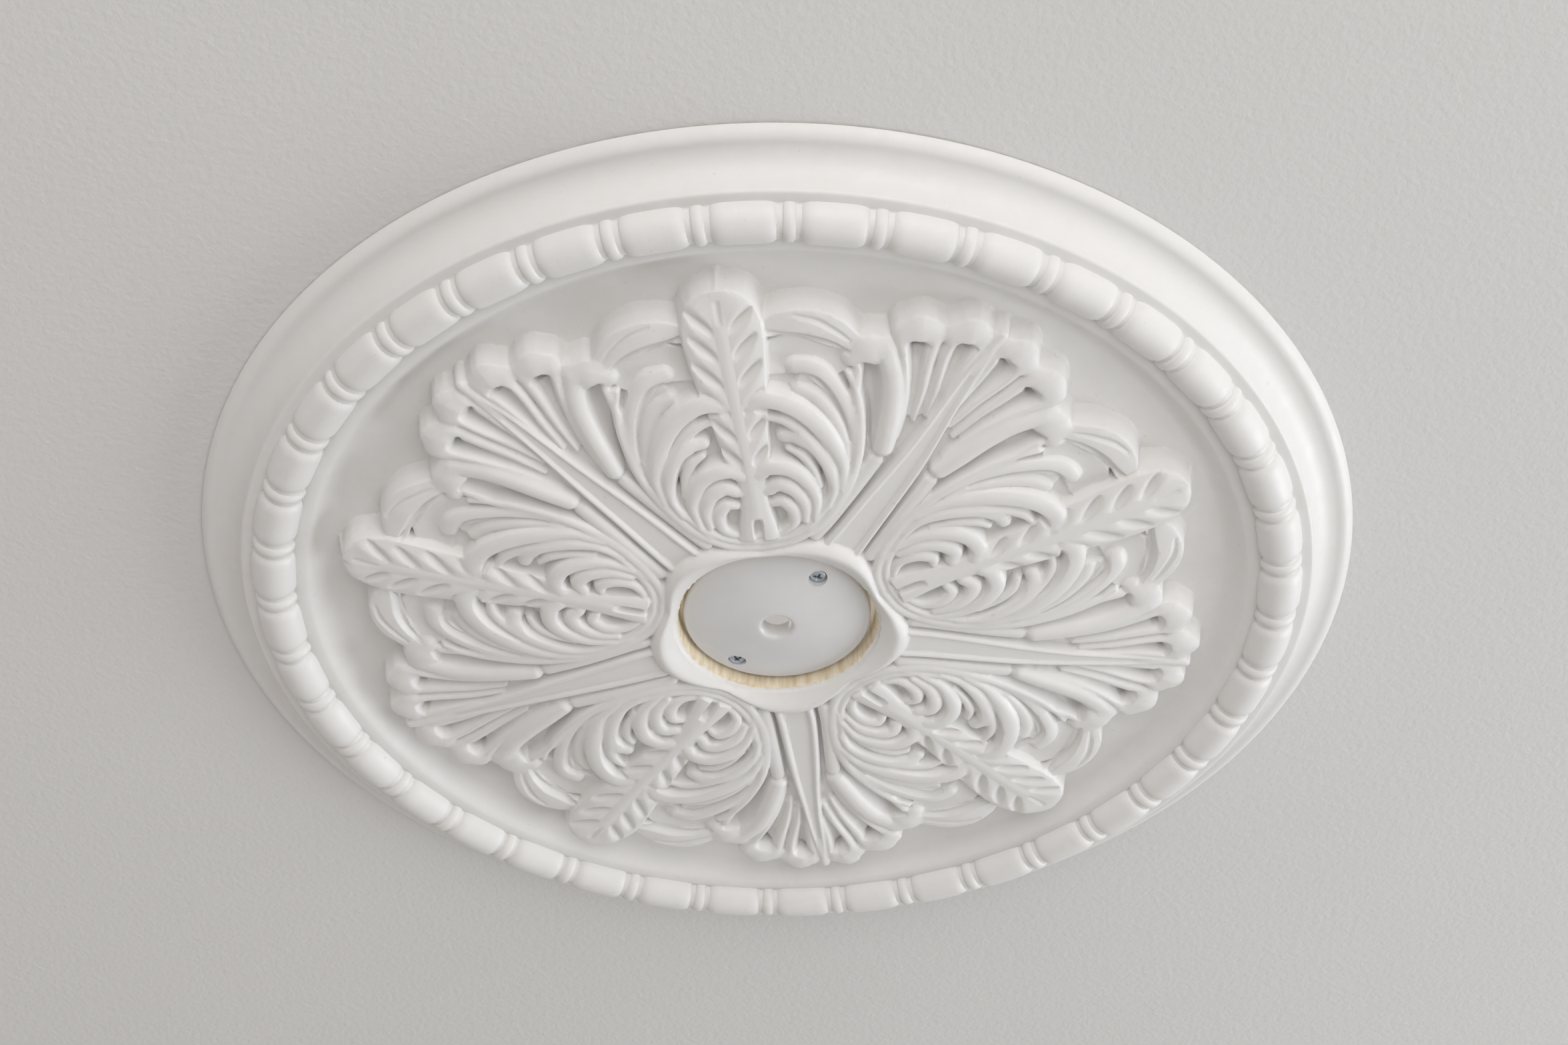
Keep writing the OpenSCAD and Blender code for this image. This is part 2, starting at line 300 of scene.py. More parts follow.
plateFinish = {
    "colour": (0.785, 0.788, 0.80),
    "blotch": (0.745, 0.747, 0.755),
    # darkens the plate's inside and the walls round its screws: painted shade with some dust
    "dustAndShade": (0.42, 0.40, 0.37),
    "grain": {"Scale": 1500.0, "Coarse": 45.0, "Share": 3.0},
    "dustAndShading": {"Amount": 0.6, "Scale": 200.0},
    "roughness": (0.16, 0.26),
}
plateMaterial, tree, shader = makeMaterial("platePlastic", {"Specular IOR Level": 0.5, "IOR": 1.49})
grain = placeGroup(tree, grainTree, plateFinish["grain"])
blotch = mapRange(tree, grain.outputs["Blotch"], 0.4, 0.72)
tree.links.new(blotchDustAndShade(tree, plateFinish, blotch), shader.inputs["Base Color"])
tree.links.new(mapRange(tree, grain.outputs["Blotch"], 0.3, 0.7, *plateFinish["roughness"]),
               shader.inputs["Roughness"])
addBump(tree, shader, 0.03, 0.0003, grain.outputs["Height"])

zinc = {
    "colour": (0.74, 0.80, 0.86),
    "blotch": (0.50, 0.56, 0.61),
    # near black: the painted shade in the screws' cross recesses
    "dustAndShade": (0.07, 0.07, 0.075),
    "grain": {"Scale": 2200.0, "Coarse": 500.0, "Share": 1.0},
    "dustAndShading": {"Amount": 0.8, "Scale": 700.0},
    "roughness": (0.28, 0.5),
}
screwMaterial, tree, shader = makeMaterial("screwZinc", {"Metallic": 0.9})
grain = placeGroup(tree, grainTree, zinc["grain"])
tree.links.new(blotchDustAndShade(tree, zinc, grain.outputs["Blotch"]), shader.inputs["Base Color"])
tree.links.new(mapRange(tree, grain.outputs["Height"], 0.5, 1.5, *zinc["roughness"]),
               shader.inputs["Roughness"])
addBump(tree, shader, 0.08, 0.0002, grain.outputs["Height"])

ceilingFinish = {"colour": (0.785, 0.782, 0.78), "blotch": (0.755, 0.752, 0.745), "rollerScale": 260.0}
ceilingMaterial, tree, shader = makeMaterial("ceilingPaint", {"Roughness": 0.75, "Specular IOR Level": 0.25})
grain = placeGroup(tree, grainTree, {"Scale": 420.0, "Coarse": 9.0, "Share": 0.2})
roller = noiseOf(tree, objectPlace(tree), ceilingFinish["rollerScale"], 2)
tree.links.new(mixColour(tree, grain.outputs["Blotch"], ceilingFinish["colour"], ceilingFinish["blotch"]),
               shader.inputs["Base Color"])
addBump(tree, shader, 0.3, 0.0008, plus(tree, roller, grain.outputs["Height"]))
# seen from above, the ceiling lets the rose's back show
nothing = addNode(tree, "ShaderNodeBsdfTransparent")
behind = addNode(tree, "ShaderNodeNewGeometry").outputs["Backfacing"]
oneSided = addNode(tree, "ShaderNodeMixShader", {0: behind, 1: shader.outputs[0], 2: nothing.outputs[0]})
tree.links.new(oneSided.outputs[0], tree.nodes["Material Output"].inputs["Surface"])

floorFinish = {"colour": (0.64, 0.63, 0.62), "blotch": (0.60, 0.595, 0.585), "scale": 3.0}
floorMaterial, tree, shader = makeMaterial("paleFloor", {"Roughness": 0.8})
cloudy = noiseOf(tree, objectPlace(tree), floorFinish["scale"], 2)
tree.links.new(mixColour(tree, cloudy, floorFinish["colour"], floorFinish["blotch"]),
               shader.inputs["Base Color"])

print("carving")
# What the carving is made of, all in mm
carving = {
    "axisTurn": 8.4,        # degrees that the first feather leans to the left of the view's top
    "sectors": 5,
    "innerR": 42.0,         # where the carving meets the hole's lip
    "outerR": 181.4,        # where it meets the rim
    "domeTop": 33.4,        # drop of the domed carving at the centre
    "domeFall": 10.2,       # how much less it drops at the feather tips
    "tipR": 176.0,
    "ground": 10.9,         # drop of the plain ground
    "floorDepth": 7.0,      # hollows between the leaves, under the dome
    "floorEdge": 147.0,     # radius where that floor gives way to the ground
    "floorSlope": 1.5,
    "wall": 14.0,           # steepness of the cut sides
    "wander": 0.6,          # how far the hand-cut copies stray from each other
    "cutShare": 0.85,       # share of each groove's depth that is cut
    "shoulder": 0.5,        # rounding of the cut edges
    "flow": 1.3,            # how far folds melt into each other
    "soften": 1,            # rounds of rubbing down
    "triangles": 112000,
    "count": (1700, 700),
    "step": (0.55, 1.2),
}

feather = {
    "outline": [(53, 7.6), (60, 7.0), (68, 5.8), (78, 4.8), (86, 5.6), (94, 8.6), (106, 9.8), (118, 11.4),
                (130, 13.2), (142, 14.8), (152, 15.5), (160, 15.2), (166, 13.9), (170.5, 12.0),
                (173.8, 9.2), (175.8, 5.8), (176.7, 2.6), (176.9, 0.2)],
    "draft": 5.0,           # steepness of its sides
    "drop": 0.9,            # top face under the dome
    "grooves": [101.0, 113.5, 126.0, 138.5, 151.0, 163.0],     # middles of the grooves between leaflets
    "edgeTurn": 1.2,        # how much its face turns down at its sides
    "grooveAt": 8.2,        # a groove's middle, from the spine
    "grooveReach": 5.4,
    "grooveSlant": 0.95,
    "grooveHalf": 2.5,
    "grooveSpread": 1.3,
    "grooveDeep": 2.3,
    "grooveLip": 0.45,      # the low ridge beside each groove
    "widths": ([86, 100, 140, 176], [0.5, 0.68, 1.0, 0.92]),    # places along it, and their share of the reach
    "spineHalf": 3.0,
    "spineRise": 0.3,
    "notch": 67.0,          # top of the notch that parts the tail
    "notchHalf": 2.4,
    "notchDeep": 4.0,
    "tipSlot": (160, 173),  # the short slot near its tip
    "tipSlotHalf": 1.6,
    "tipSlotDeep": 0.6,
}

collar = {
    "lobeOut": 55.0,        # reach of a lobe, on a stem's axis
    "notchOut": 46.5,       # reach at the notch between two lobes
    "lobeCrest": 48.4,      # radius of the roll's crest, on a stem's axis
    "notchCrest": 43.6,
    "crest": 32.4,          # drop of the crest on a lobe
    "notchLess": 1.6,       # how much less it drops at a notch
    "lipR": 40.9,
    "lipDrop": 27.7,
    "outerFall": 6.5,       # how far the roll turns down on its outside
    "outerSteep": 6,        # steepness of its foot
    "hollowBlend": 8,       # how softly the hollow runs into the roll
    "hollowDeep": 4,
    "hollowRise": 0.9,
    "rollLift": 0.8,
}

# Strokes of the chisel beside a feather's axis. A row is a fold's crown, or "cut" for a groove, and its line.
# A crown above 0 rounds the fold's top and one below 0 hollows it. The line holds (x, y, half-width, drop of
# the fold's top under the dome), and a groove's last number is its depth.
besideFeather = [
    # bed that the comb's fingers rise from
    (-0.3, [(30, 128, 6, 4.8), (36, 118, 7, 4.4), (38, 104, 6.5, 4.2), (36.5, 90, 6, 4), (31, 76, 5, 3.8),
            (23, 63, 4, 3.6)]),
    (-0.3, [(22, 112, 4.5, 4.6), (28, 102, 5, 4.2), (30, 90, 4.5, 4)]),
    (-0.3, [(14, 84, 3.5, 4), (19, 77, 4.5, 3.8), (20, 68, 4, 3.6), (15, 59, 3, 3.8)]),
    # bud leaf behind the feather: its hollow heart, its arch and the crease between them
    (-1.0, [(17, 141, 8, 5.4), (27, 142, 9, 4.8), (37, 138, 8, 4.8)]),
    (0.5, [(16, 156, 4.4, 3.3), (23, 157, 6, 2.7), (31, 156, 7, 2.3), (39, 151.8, 6.8, 2.6),
           (46, 145, 4.8, 3.4)]),
    ("cut", [(15, 155, 1, 1.6), (22, 152.3, 1.8, 2.8), (30, 150.2, 2.2, 3.2), (38, 146.4, 1.7, 2.6),
             (44.5, 141, 1, 1.3)]),
    ("cut", [(27, 161, 0.8, 0.7), (35, 157.5, 1.4, 1.1), (42, 151, 1.2, 1), (46, 146, 0.7, 0.6)]),
    # upper comb, outer fingers first
    (1.2, [(25, 137, 3.6, 3.4), (31, 134.8, 4.2, 2.8), (37, 126, 3.8, 2.4), (41, 114, 3.1, 2.3),
           (42.4, 101, 2.3, 2.3), (41, 88, 1.5, 2.3)]),
    ("cut", [(26, 133.5, 1, 1.4), (31.5, 130.5, 1.6, 2.4), (36, 122, 1.5, 2.3), (39, 110, 1.2, 1.9),
             (40, 97, 0.8, 1.2)]),
    (1.1, [(24.5, 126.5, 2.6, 3.4), (30, 122, 2.9, 3), (35, 112.5, 2.7, 2.4), (38, 101, 2.1, 2.2),
           (38.5, 90, 1.4, 2.2)]),
    ("cut", [(28, 119.5, 0.9, 1.2), (32.5, 111.5, 1, 1.5), (35.5, 101, 0.8, 1.2)]),
]
overFeather = [
    # the comb's broad spoon, which laps over the feather, with its groove and its lower lip
    (1.3, [(5.2, 123, 3.4, 0.8), (11, 125, 4.3, 0.2), (19, 121, 4.8, 0), (27, 112.5, 4.6, 0),
           (33, 101, 3.7, 0.2), (36.3, 88, 2.5, 0.8), (34.5, 76, 1.6, 1.3)]),
    ("cut", [(8, 120.5, 1, 1.5), (14.5, 118.8, 1.9, 2.6), (21.5, 112.8, 2, 2.6),
             (27.5, 102.5, 1.6, 2.3), (31, 91, 1, 1.7)]),
    (1.0, [(10.5, 115.5, 1.6, 2.2), (17, 113, 2.1, 1.4), (23.5, 106, 2.1, 1), (28, 96, 1.9, 1.1),
           (30.8, 84, 1.4, 1.4)]),
    (1.4, [(16.2, 104.8, 3.2, 1.9), (21.5, 104, 4, 0.9), (27, 97.5, 4, 0.4), (30.8, 88, 3.2, 0.4),
           (31.5, 78, 2.2, 0.8), (28.5, 68, 1.5, 1.5)]),
    ("cut", [(18.5, 100.8, 0.9, 1.5), (23.3, 97, 1.6, 2.3), (27, 88.5, 1.3, 2.1), (28.5, 79, 0.9, 1.2)]),
    (1.0, [(16.8, 98.5, 1.6, 2.2), (21, 95, 1.9, 1.5), (24.6, 87.5, 1.7, 1.4), (26.2, 78.5, 1.3, 1.7)]),
    # lower comb
    (1.4, [(4.2, 88.4, 3, 0.4), (8.8, 91, 3.8, -0.1), (15.2, 89.4, 4, -0.2), (20.8, 83, 3.5, 0),
           (23.8, 73.5, 2.6, 0.6), (22.2, 63, 1.8, 1.3)]),
    ("cut", [(7.5, 87.2, 0.9, 1.3), (13, 85.8, 1.6, 2.2), (17.6, 80.6, 1.5, 2.1), (20.2, 72.5, 1, 1.5)]),
    (1.3, [(6.2, 79.5, 2.8, 0.8), (10.8, 82, 3.4, 0.3), (15.6, 78.5, 3.3, 0.2), (19, 71, 2.7, 0.6),
           (18.4, 62, 1.9, 1.3)]),
    ("cut", [(9.5, 78, 0.9, 1.3), (13.4, 75.5, 1.4, 2), (15.8, 69, 1, 1.5)]),
    (1.2, [(7.2, 72.2, 2, 1.4), (10.8, 73, 2.7, 0.8), (14.2, 68, 2.7, 0.8), (13.8, 60.8, 2.3, 1.4),
           (9.5, 56.2, 1.9, 2), (4, 54.2, 1.7, 2.5), (0, 54, 1.6, 2.7)]),
    # ridges that run round the feather's foot and up the leaf
    (0.9, [(0, 50.7, 1.5, 2.5), (9, 52.3, 1.6, 2.1), (17, 56.8, 1.7, 1.8), (24.5, 64.8, 1.7, 1.6),
           (31, 75, 1.6, 1.6), (36.3, 86, 1.5, 1.9), (39.6, 98, 1.3, 2.3)]),
    (0.9, [(0, 47.3, 1.7, 2.5), (11, 49.2, 1.9, 2.1), (21, 55.8, 2, 1.7), (30, 66.2, 2, 1.5),
           (37.5, 78.5, 2, 1.5), (42.7, 92, 1.9, 1.6), (45.3, 108, 1.7, 2), (45.6, 121, 1.5, 2.5),
           (43.6, 131, 1.4, 3)]),
]
# The same beside a stem's axis, for the leaf that stands on it
besideStem = [
    # bed under the lobes
    (-0.4, [(7, 155, 5, 6.6), (7, 146, 5.5, 5.8), (5, 132, 4, 5.4)]),
    (-0.4, [(20, 148, 5, 6.8), (17, 140, 6.5, 6), (12, 128, 6, 5.6)]),
    (-0.4, [(33, 139, 5.5, 6.6), (28, 132, 6, 6), (21, 121, 5, 5.6), (13, 106, 4, 5.2)]),
    # middle lobe: two rims that swell from the neck into a round hood, with a hollow under it
    (1.8, [(13.8, 162, 3, 2.5), (12, 153, 2.6, 2.9), (8.4, 140, 2, 3.5), (5.2, 126, 1.4, 4.2)]),
    (1.4, [(3.8, 164, 2.2, 2.6), (4, 152, 1.7, 3.2), (3.4, 138, 1.2, 3.8)]),
    (1.8, [(6.8, 168.4, 5.8, 1.9), (10, 168.4, 7.6, 1.3), (13.8, 165.6, 6, 1.9)]),
    ("cut", [(5.4, 162.8, 1.4, 1.4), (9.4, 161.4, 3.2, 3), (9.4, 153, 2.2, 1.6), (6.8, 142, 1, 0.8)]),
    # side lobe, shaped alike
    (1.8, [(32, 154.4, 3, 2.9), (26.8, 148.2, 2.6, 2.8), (19.8, 136.5, 2.1, 3.1), (13.2, 121, 1.6, 3.6),
           (10.2, 112, 1.2, 4)]),
    (1.6, [(19.8, 158.8, 2.8, 2.9), (16.8, 149, 2.4, 3.1), (12.4, 136, 1.8, 3.5), (8.8, 122, 1.2, 4)]),
    (1.8, [(22.6, 161.6, 5.8, 2.3), (27, 161, 7.2, 1.8), (31.2, 157.6, 5.6, 2.4)]),
    ("cut", [(21, 155.6, 1.4, 1.4), (25.2, 154.2, 3.2, 3), (21.4, 144.6, 2, 1.4), (16.4, 134, 1, 0.8)]),
    # the big tongue with its shoulder, its slot and its blunt nose
    (1.7, [(35.4, 148.2, 5.2, 2.8), (39.6, 144.4, 7.2, 2.1), (43.4, 138.8, 4.6, 2.8)]),
    (2.4, [(34, 147, 4.8, 2.5), (26, 137.8, 4.6, 1.8), (20.4, 127, 4.4, 1.4), (15.6, 114.6, 4.3, 1.3),
           (12.4, 105.6, 4, 1.5)]),
    (1.2, [(39.4, 135, 2.2, 3), (35, 125, 2, 2.8), (29, 113.6, 1.8, 2.7), (23.6, 103, 1.6, 2.6),
           (20.2, 92, 1.4, 2.5)]),
    ("cut", [(39.6, 138, 1.3, 2), (35.4, 136, 3, 4.6), (29.6, 126.5, 3.2, 4.8),
             (24.4, 116, 2.8, 4), (19.8, 105, 1.6, 2.2)]),
    # ribs of the stem, from the flat strip outwards
    (0.9, [(0, 152, 1.2, 3.2), (0, 163, 1.8, 2.4), (0, 173, 2.2, 2)]),
    (0.1, [(0, 53, 5.6, 3), (0, 75, 4.9, 3), (0, 100, 3.6, 3.1), (0, 125, 2.1, 3.4), (0, 150, 0.9, 3.7)]),
    (1.2, [(6.6, 54, 1.5, 1.9), (5.8, 75, 1.5, 1.9), (4.5, 100, 1.4, 2), (3, 125, 1.2, 2.4),
           (2, 148, 1.1, 2.7), (1.4, 164, 1, 2.8)]),
    (1.2, [(12.6, 54, 2.6, 2.4), (12.4, 68, 2.8, 2.1), (12, 84, 2.9, 2.1), (11.8, 99, 2.9, 2.6)]),
    (0.9, [(17.6, 57, 1.5, 2), (17.6, 72, 1.5, 1.9), (17.4, 88, 1.4, 2.1), (19.6, 101, 1.3, 2.6)]),
]


def curvePoints(line, step=1.5):
    # a smooth curve through the line's points, with every number on them carried along
    pts = np.array(line, float)
    pts = np.vstack([2 * pts[0] - pts[1], pts, 2 * pts[-1] - pts[-2]])
    out = []
    for i in range(1, len(pts) - 2):
        a, b, c, d = pts[i - 1], pts[i], pts[i + 1], pts[i + 2]
        n = max(2, int(math.dist(b[:2], c[:2]) / step))
        t = np.linspace(0, 1, n, endpoint=False)[:, None]
        out.append(0.5 * (2 * b + (c - a) * t + (2 * a - 5 * b + 4 * c - d) * t ** 2
                          + (3 * b - a - 3 * c + d) * t ** 3))
    return np.vstack(out + [pts[-2:-1]])


def nearestOnCurve(px, py, curve):
    # distance to the curve, and the numbers carried by the nearest place on it
    best = np.full(px.shape, 1e9)
    carried = np.zeros(px.shape + (curve.shape[1] - 2,))
    for a, b in zip(curve[:-1], curve[1:]):
        dx, dy = b[0] - a[0], b[1] - a[1]
        t = np.clip(((px - a[0]) * dx + (py - a[1]) * dy) / (dx * dx + dy * dy + 1e-9), 0, 1)
        d = np.hypot(px - a[0] - t * dx, py - a[1] - t * dy)
        near = d < best
        best = np.where(near, d, best)
        carried[near] = (a[2:] + t[..., None] * (b[2:] - a[2:]))[near]
    return best, carried


def domeAt(r):
    return carving["domeTop"] - carving["domeFall"] * (r / carving["tipR"]) ** 2


def smoothStep(t):
    t = np.clip(t, 0, 1)
    return t * t * (3 - 2 * t)


def softMax(a, b, reach):
    # the higher of the two, flowing into each other where they are nearly level
    share = np.clip(0.5 + 0.5 * (a - b) / reach, 0, 1)
    return b + (a - b) * share + reach * share * (1 - share)


def stroke(height, x, y, row):
    # raises or cuts one stroke on the height field
    crown, line = row
    curve = curvePoints(line)
    reach = curve[:, 2].max() + (0.5 if crown == "cut" else 6)
    inBox = ((x > curve[:, 0].min() - reach) & (x < curve[:, 0].max() + reach)
             & (y > curve[:, 1].min() - reach) & (y < curve[:, 1].max() + reach))
    px, py = x[inBox], y[inBox]
    if not len(px):
        return
    dist, carried = nearestOnCurve(px, py, curve)
    half, drop = carried[:, 0], carried[:, 1]
    s = dist / half
    if crown == "cut":
        height[inBox] -= carving["cutShare"] * drop * np.clip(1 - s ** 2, 0, 1)
        return
    top = domeAt(np.hypot(px, py)) - drop
    if crown > 0:
        face = top - crown * np.minimum(s, 1) ** 2.4
    else:
        face = top + crown * np.clip(1 - s ** 2, 0, 1)
    out = np.clip(dist - half, 0, None)
    wall = carving["wall"] * out ** 2 / (out + carving["shoulder"])
    height[inBox] = softMax(height[inBox], face - wall, carving["flow"])


def featherHeights(height, x, y):
    # the feather: a broad slab with soft lens-shaped grooves on both sides of a spine, and a notched tail
    f = feather
    rows = np.array(f["outline"], float)
    half = np.interp(y, rows[:, 0], rows[:, 1], left=0, right=0)
    side = np.abs(x)
    inside = (y > rows[0, 0]) & (y < rows[-1, 0])
    top = domeAt(np.hypot(x, y)) - f["drop"]
    edge = np.clip(side / np.maximum(half, 0.1), 0, 1)
    face = top - f["edgeTurn"] * edge ** 4
    wide = np.interp(y, *f["widths"])
    for middle in f["grooves"]:
        along = (side / wide - f["grooveAt"]) / f["grooveReach"]
        across = y - middle - f["grooveSlant"] * (side - f["grooveAt"])
        across = across / f["grooveHalf"] / f["grooveSpread"]
        lens = np.clip(1 - along ** 2, 0, 1) ** 0.8
        face -= f["grooveDeep"] * lens * np.exp(-across ** 2 * 1.6 / np.maximum(lens, 0.2))
        face += f["grooveLip"] * lens * np.exp(-((across - 2.0) / 1.2) ** 2)
    face += f["spineRise"] * smoothStep((f["spineHalf"] - side) / 2.6) * smoothStep((170 - y) / 8)
    face -= f["notchDeep"] * smoothStep((f["notch"] - y) / 6) * smoothStep((f["notchHalf"] - side) / 1.8)
    slotFrom, slotTo = f["tipSlot"]
    face -= (f["tipSlotDeep"] * smoothStep((y - slotFrom) / 3) * smoothStep((slotTo - y) / 2)
             * smoothStep((f["tipSlotHalf"] - side) / 1.2))
    out = np.clip(side - half, 0, None)
    past = np.clip(y - rows[-1, 0], 0, None) + np.clip(rows[0, 0] - y, 0, None)
    face -= np.hypot(out, past) * f["draft"]
    np.copyto(height, np.maximum(height, face), where=inside | (past < 6))


def carvedSector(steps, radii):
    # heights over half a sector, from a feather's axis to a stem's axis
    halfAngle = math.pi / carving["sectors"]
    angle = np.linspace(0, halfAngle, steps + 1)
    r, a = np.meshgrid(radii, angle, indexing="ij")
    x, y = r * np.sin(a), r * np.cos(a)
    xs, ys = r * np.sin(halfAngle - a), r * np.cos(halfAngle - a)
    height = np.full(r.shape, carving["ground"], float)
    floor = domeAt(r) - carving["floorDepth"]
    floor = floor - np.clip(r - carving["floorEdge"], 0, None) * carving["floorSlope"]
    height = np.maximum(height, floor)
    for row in besideFeather[:4]:
        stroke(height, x, y, row)
    for row in besideStem:
        stroke(height, xs, ys, row)
    for row in besideFeather[4:]:
        stroke(height, x, y, row)
    featherHeights(height, x, y)
    for row in overFeather:
        stroke(height, x, y, row)
    # collar: a roll whose outline bulges on each stem's axis, with a hollow from its crest to the lip
    c = collar
    lobe = (0.5 - 0.5 * np.cos(a / halfAngle * math.pi)) ** 0.75
    reachHere = c["notchOut"] + (c["lobeOut"] - c["notchOut"]) * lobe
    crestR = c["notchCrest"] + (c["lobeCrest"] - c["notchCrest"]) * lobe
    crest = c["crest"] - c["notchLess"] * (1 - lobe)
    share = np.clip((r - c["lipR"]) / (crestR - c["lipR"]), 0, 2)
    inner = c["lipDrop"] + (crest + c["hollowRise"] - c["lipDrop"]) * share ** 1.5
    s = np.clip((r - crestR + 1) / (reachHere - crestR + 1), 0, 1)
    outer = crest + 0.2 - c["outerFall"] * (1 - np.sqrt(1 - s ** 2))
    outer = outer - np.clip(r - reachHere, 0, None) * c["outerSteep"]
    blend = np.clip(0.5 + (outer - inner) / c["hollowBlend"], 0, 1)
    roll = outer + (inner - outer) * blend - c["hollowDeep"] * blend * (1 - blend) + c["rollLift"]
    height = np.where(r < crestR, roll, np.maximum(height, roll))
    return height


def softened(table, rounds):
    # rubs a table of heights down, with the mirror lines at both of its ends
    for _ in range(rounds):
        padded = np.pad(table, ((1, 1), (1, 1)), mode="reflect")
        rows = (padded[:-2] + 2 * padded[1:-1] + padded[2:]) / 4
        table = (rows[:, :-2] + 2 * rows[:, 1:-1] + rows[:, 2:]) / 4
    return table


def boxMean(table, reach):
    # the mean height round each place, over reach rows and columns each way
    for axis in (0, 1):
        pad = [(0, 0), (0, 0)]
        pad[axis] = (reach + 1, reach)
        total = np.cumsum(np.pad(table, pad, mode="reflect"), axis=axis)
        size = 2 * reach + 1
        table = (np.take(total, range(size, total.shape[axis]), axis) -
                 np.take(total, range(0, total.shape[axis] - size), axis)) / size
    return table


tableStep = 0.4     # mm between the table's rows
tableSteps = 300    # steps round half a sector
hollowReach = 6     # rows and columns that a hollow is judged against
tableRadii = np.arange(carving["innerR"] - 1, carving["outerR"] + 1, tableStep)
heights = softened(carvedSector(tableSteps, tableRadii), carving["soften"])
# how far each place lies below the mean round it; low values darken the paint with dust and painted shade
hollows = heights - boxMean(boxMean(heights, hollowReach), hollowReach)


def lookUp(table, x, y):
    # the table's value at a drawn point, with a little of the carver's wander from copy to copy
    r = np.hypot(x, y)
    calm = smoothStep((r - 48) / 16) * smoothStep((carving["tipR"] + 3 - r) / 10) * carving["wander"]
    # slow waves of unequal lengths, so that no two copies match
    x2 = x + calm * (np.sin(y / 23 + 1.3) + 0.5 * np.sin(x / 11 + y / 17 + 0.4))
    y2 = y + calm * (np.sin(x / 21 + 2.1) + 0.5 * np.sin(y / 12 - x / 19 + 3.0))
    r = np.hypot(x2, y2)
    sector = 2 * math.pi / carving["sectors"]
    a = np.mod(np.arctan2(x2, y2) + math.radians(carving["axisTurn"]), sector)
    a = np.minimum(a, sector - a)
    i = np.clip((r - tableRadii[0]) / tableStep, 0, table.shape[0] - 1.001)
    j = np.clip(a / (sector / 2) * tableSteps, 0, table.shape[1] - 1.001)
    i0, j0 = i.astype(int), j.astype(int)
    u, v = i - i0, j - j0
    return ((table[i0, j0] * (1 - v) + table[i0, j0 + 1] * v) * (1 - u)
            + (table[i0 + 1, j0] * (1 - v) + table[i0 + 1, j0 + 1] * v) * u)


def placed(drawn):
    # drawn points (x, y, h) in mm to points in the frame, in metres
    return drawn * np.array([mm, -mm, -mm])


def carvedMesh():
    # the carved field as a fine polar net, then thinned where it is plain
    count = carving["count"][quick]
    radii = np.arange(carving["innerR"], carving["outerR"] + 0.01, carving["step"][quick])
    around = np.linspace(0, 2 * math.pi, count, endpoint=False)
    r, a = np.meshgrid(radii, around, indexing="ij")
    x, y = r * np.sin(a), r * np.cos(a)
    h = lookUp(heights, x, y)
    points = placed(np.stack([x, y, h], -1).reshape(-1, 3))
    rows, cols = np.meshgrid(np.arange(len(radii) - 1), np.arange(count), indexing="ij")
    a0 = rows * count + cols
    a1 = rows * count + (cols + 1) % count
    quads = np.stack([a0, a1, a1 + count, a0 + count], -1).reshape(-1, 4)
    mesh = bpy.data.meshes.new("carvedNet")
    mesh.vertices.add(len(points))
    mesh.vertices.foreach_set("co", points.ravel())
    mesh.loops.add(quads.size)
    mesh.loops.foreach_set("vertex_index", quads.ravel())
    mesh.polygons.add(len(quads))
    mesh.polygons.foreach_set("loop_start", np.arange(0, quads.size, 4))
    mesh.update(calc_edges=True)
    net = bpy.data.objects.new("carvedNet", mesh)
    scene.collection.objects.link(net)
    thin = net.modifiers.new("thin", "DECIMATE")
    thin.ratio = min(1.0, carving["triangles"] / (2 * len(quads)))
    made = plainMesh(net, "carvedThin")
    bpy.data.objects.remove(net)
    made.calc_loop_triangles()
    triangles = np.zeros(len(made.loop_triangles) * 3, int)
    made.loop_triangles.foreach_get("vertices", triangles)
    return spotsOf(made), triangles.reshape(-1, 3)


def rimOfNet(points, triangles):
    # the net's two open rims, each as a list of points in order round the axis
    edges = np.concatenate([triangles[:, [0, 1]], triangles[:, [1, 2]], triangles[:, [2, 0]]])
    edges.sort(axis=1)
    found, uses = np.unique(edges, axis=0, return_counts=True)
    loose = np.unique(found[uses == 1])
    r = np.hypot(points[loose, 0], points[loose, 1]) / mm
    a = np.mod(np.arctan2(points[loose, 0], -points[loose, 1]), 2 * math.pi)
    middle = (carving["innerR"] + carving["outerR"]) / 2
    loops = []
    for side in (r < middle, r > middle):
        order = np.argsort(a[side])
        loops.append((loose[side][order], a[side][order]))
    return loops


def zipLoops(inner, outer):
    # a strip of triangles between two rings of (points, angles) that may differ in count
    (ia, aa), (ib, ab) = inner, outer
    out = []
    i = j = 0
    while i < len(ia) or j < len(ib):
        nextA = aa[i + 1] if i + 1 < len(ia) else 2 * math.pi + aa[0]
        nextB = ab[j + 1] if j + 1 < len(ib) else 2 * math.pi + ab[0]
        if j >= len(ib) or (i < len(ia) and nextA <= nextB):
            out.append((ia[i % len(ia)], ia[(i + 1) % len(ia)], ib[j % len(ib)]))
            i += 1
        else:
            out.append((ia[i % len(ia)], ib[(j + 1) % len(ib)], ib[j % len(ib)]))
            j += 1
    return out


rim = {
    "segments": 360,
    "ringR": 204.0,         # the bead ring's centre line
    "coreR": 7.5,           # the plain core that shows between beads
    "axisDrop": 15.8,
    "lipDrop": 27.2,        # where the paint has flaked from the cut
    "lipBand": 0.9,
    "lipRag": 1.2,          # raggedness of the cut through foam and paint
    "lipWave": 0.35,
    "wallRag": 0.12,
    "coveR": 227.6,         # the cove's arc: its middle, its width and its rise
    "coveDrop": 16.0,
    "coveWide": 10.1,
    "coveRise": 11.9,
}
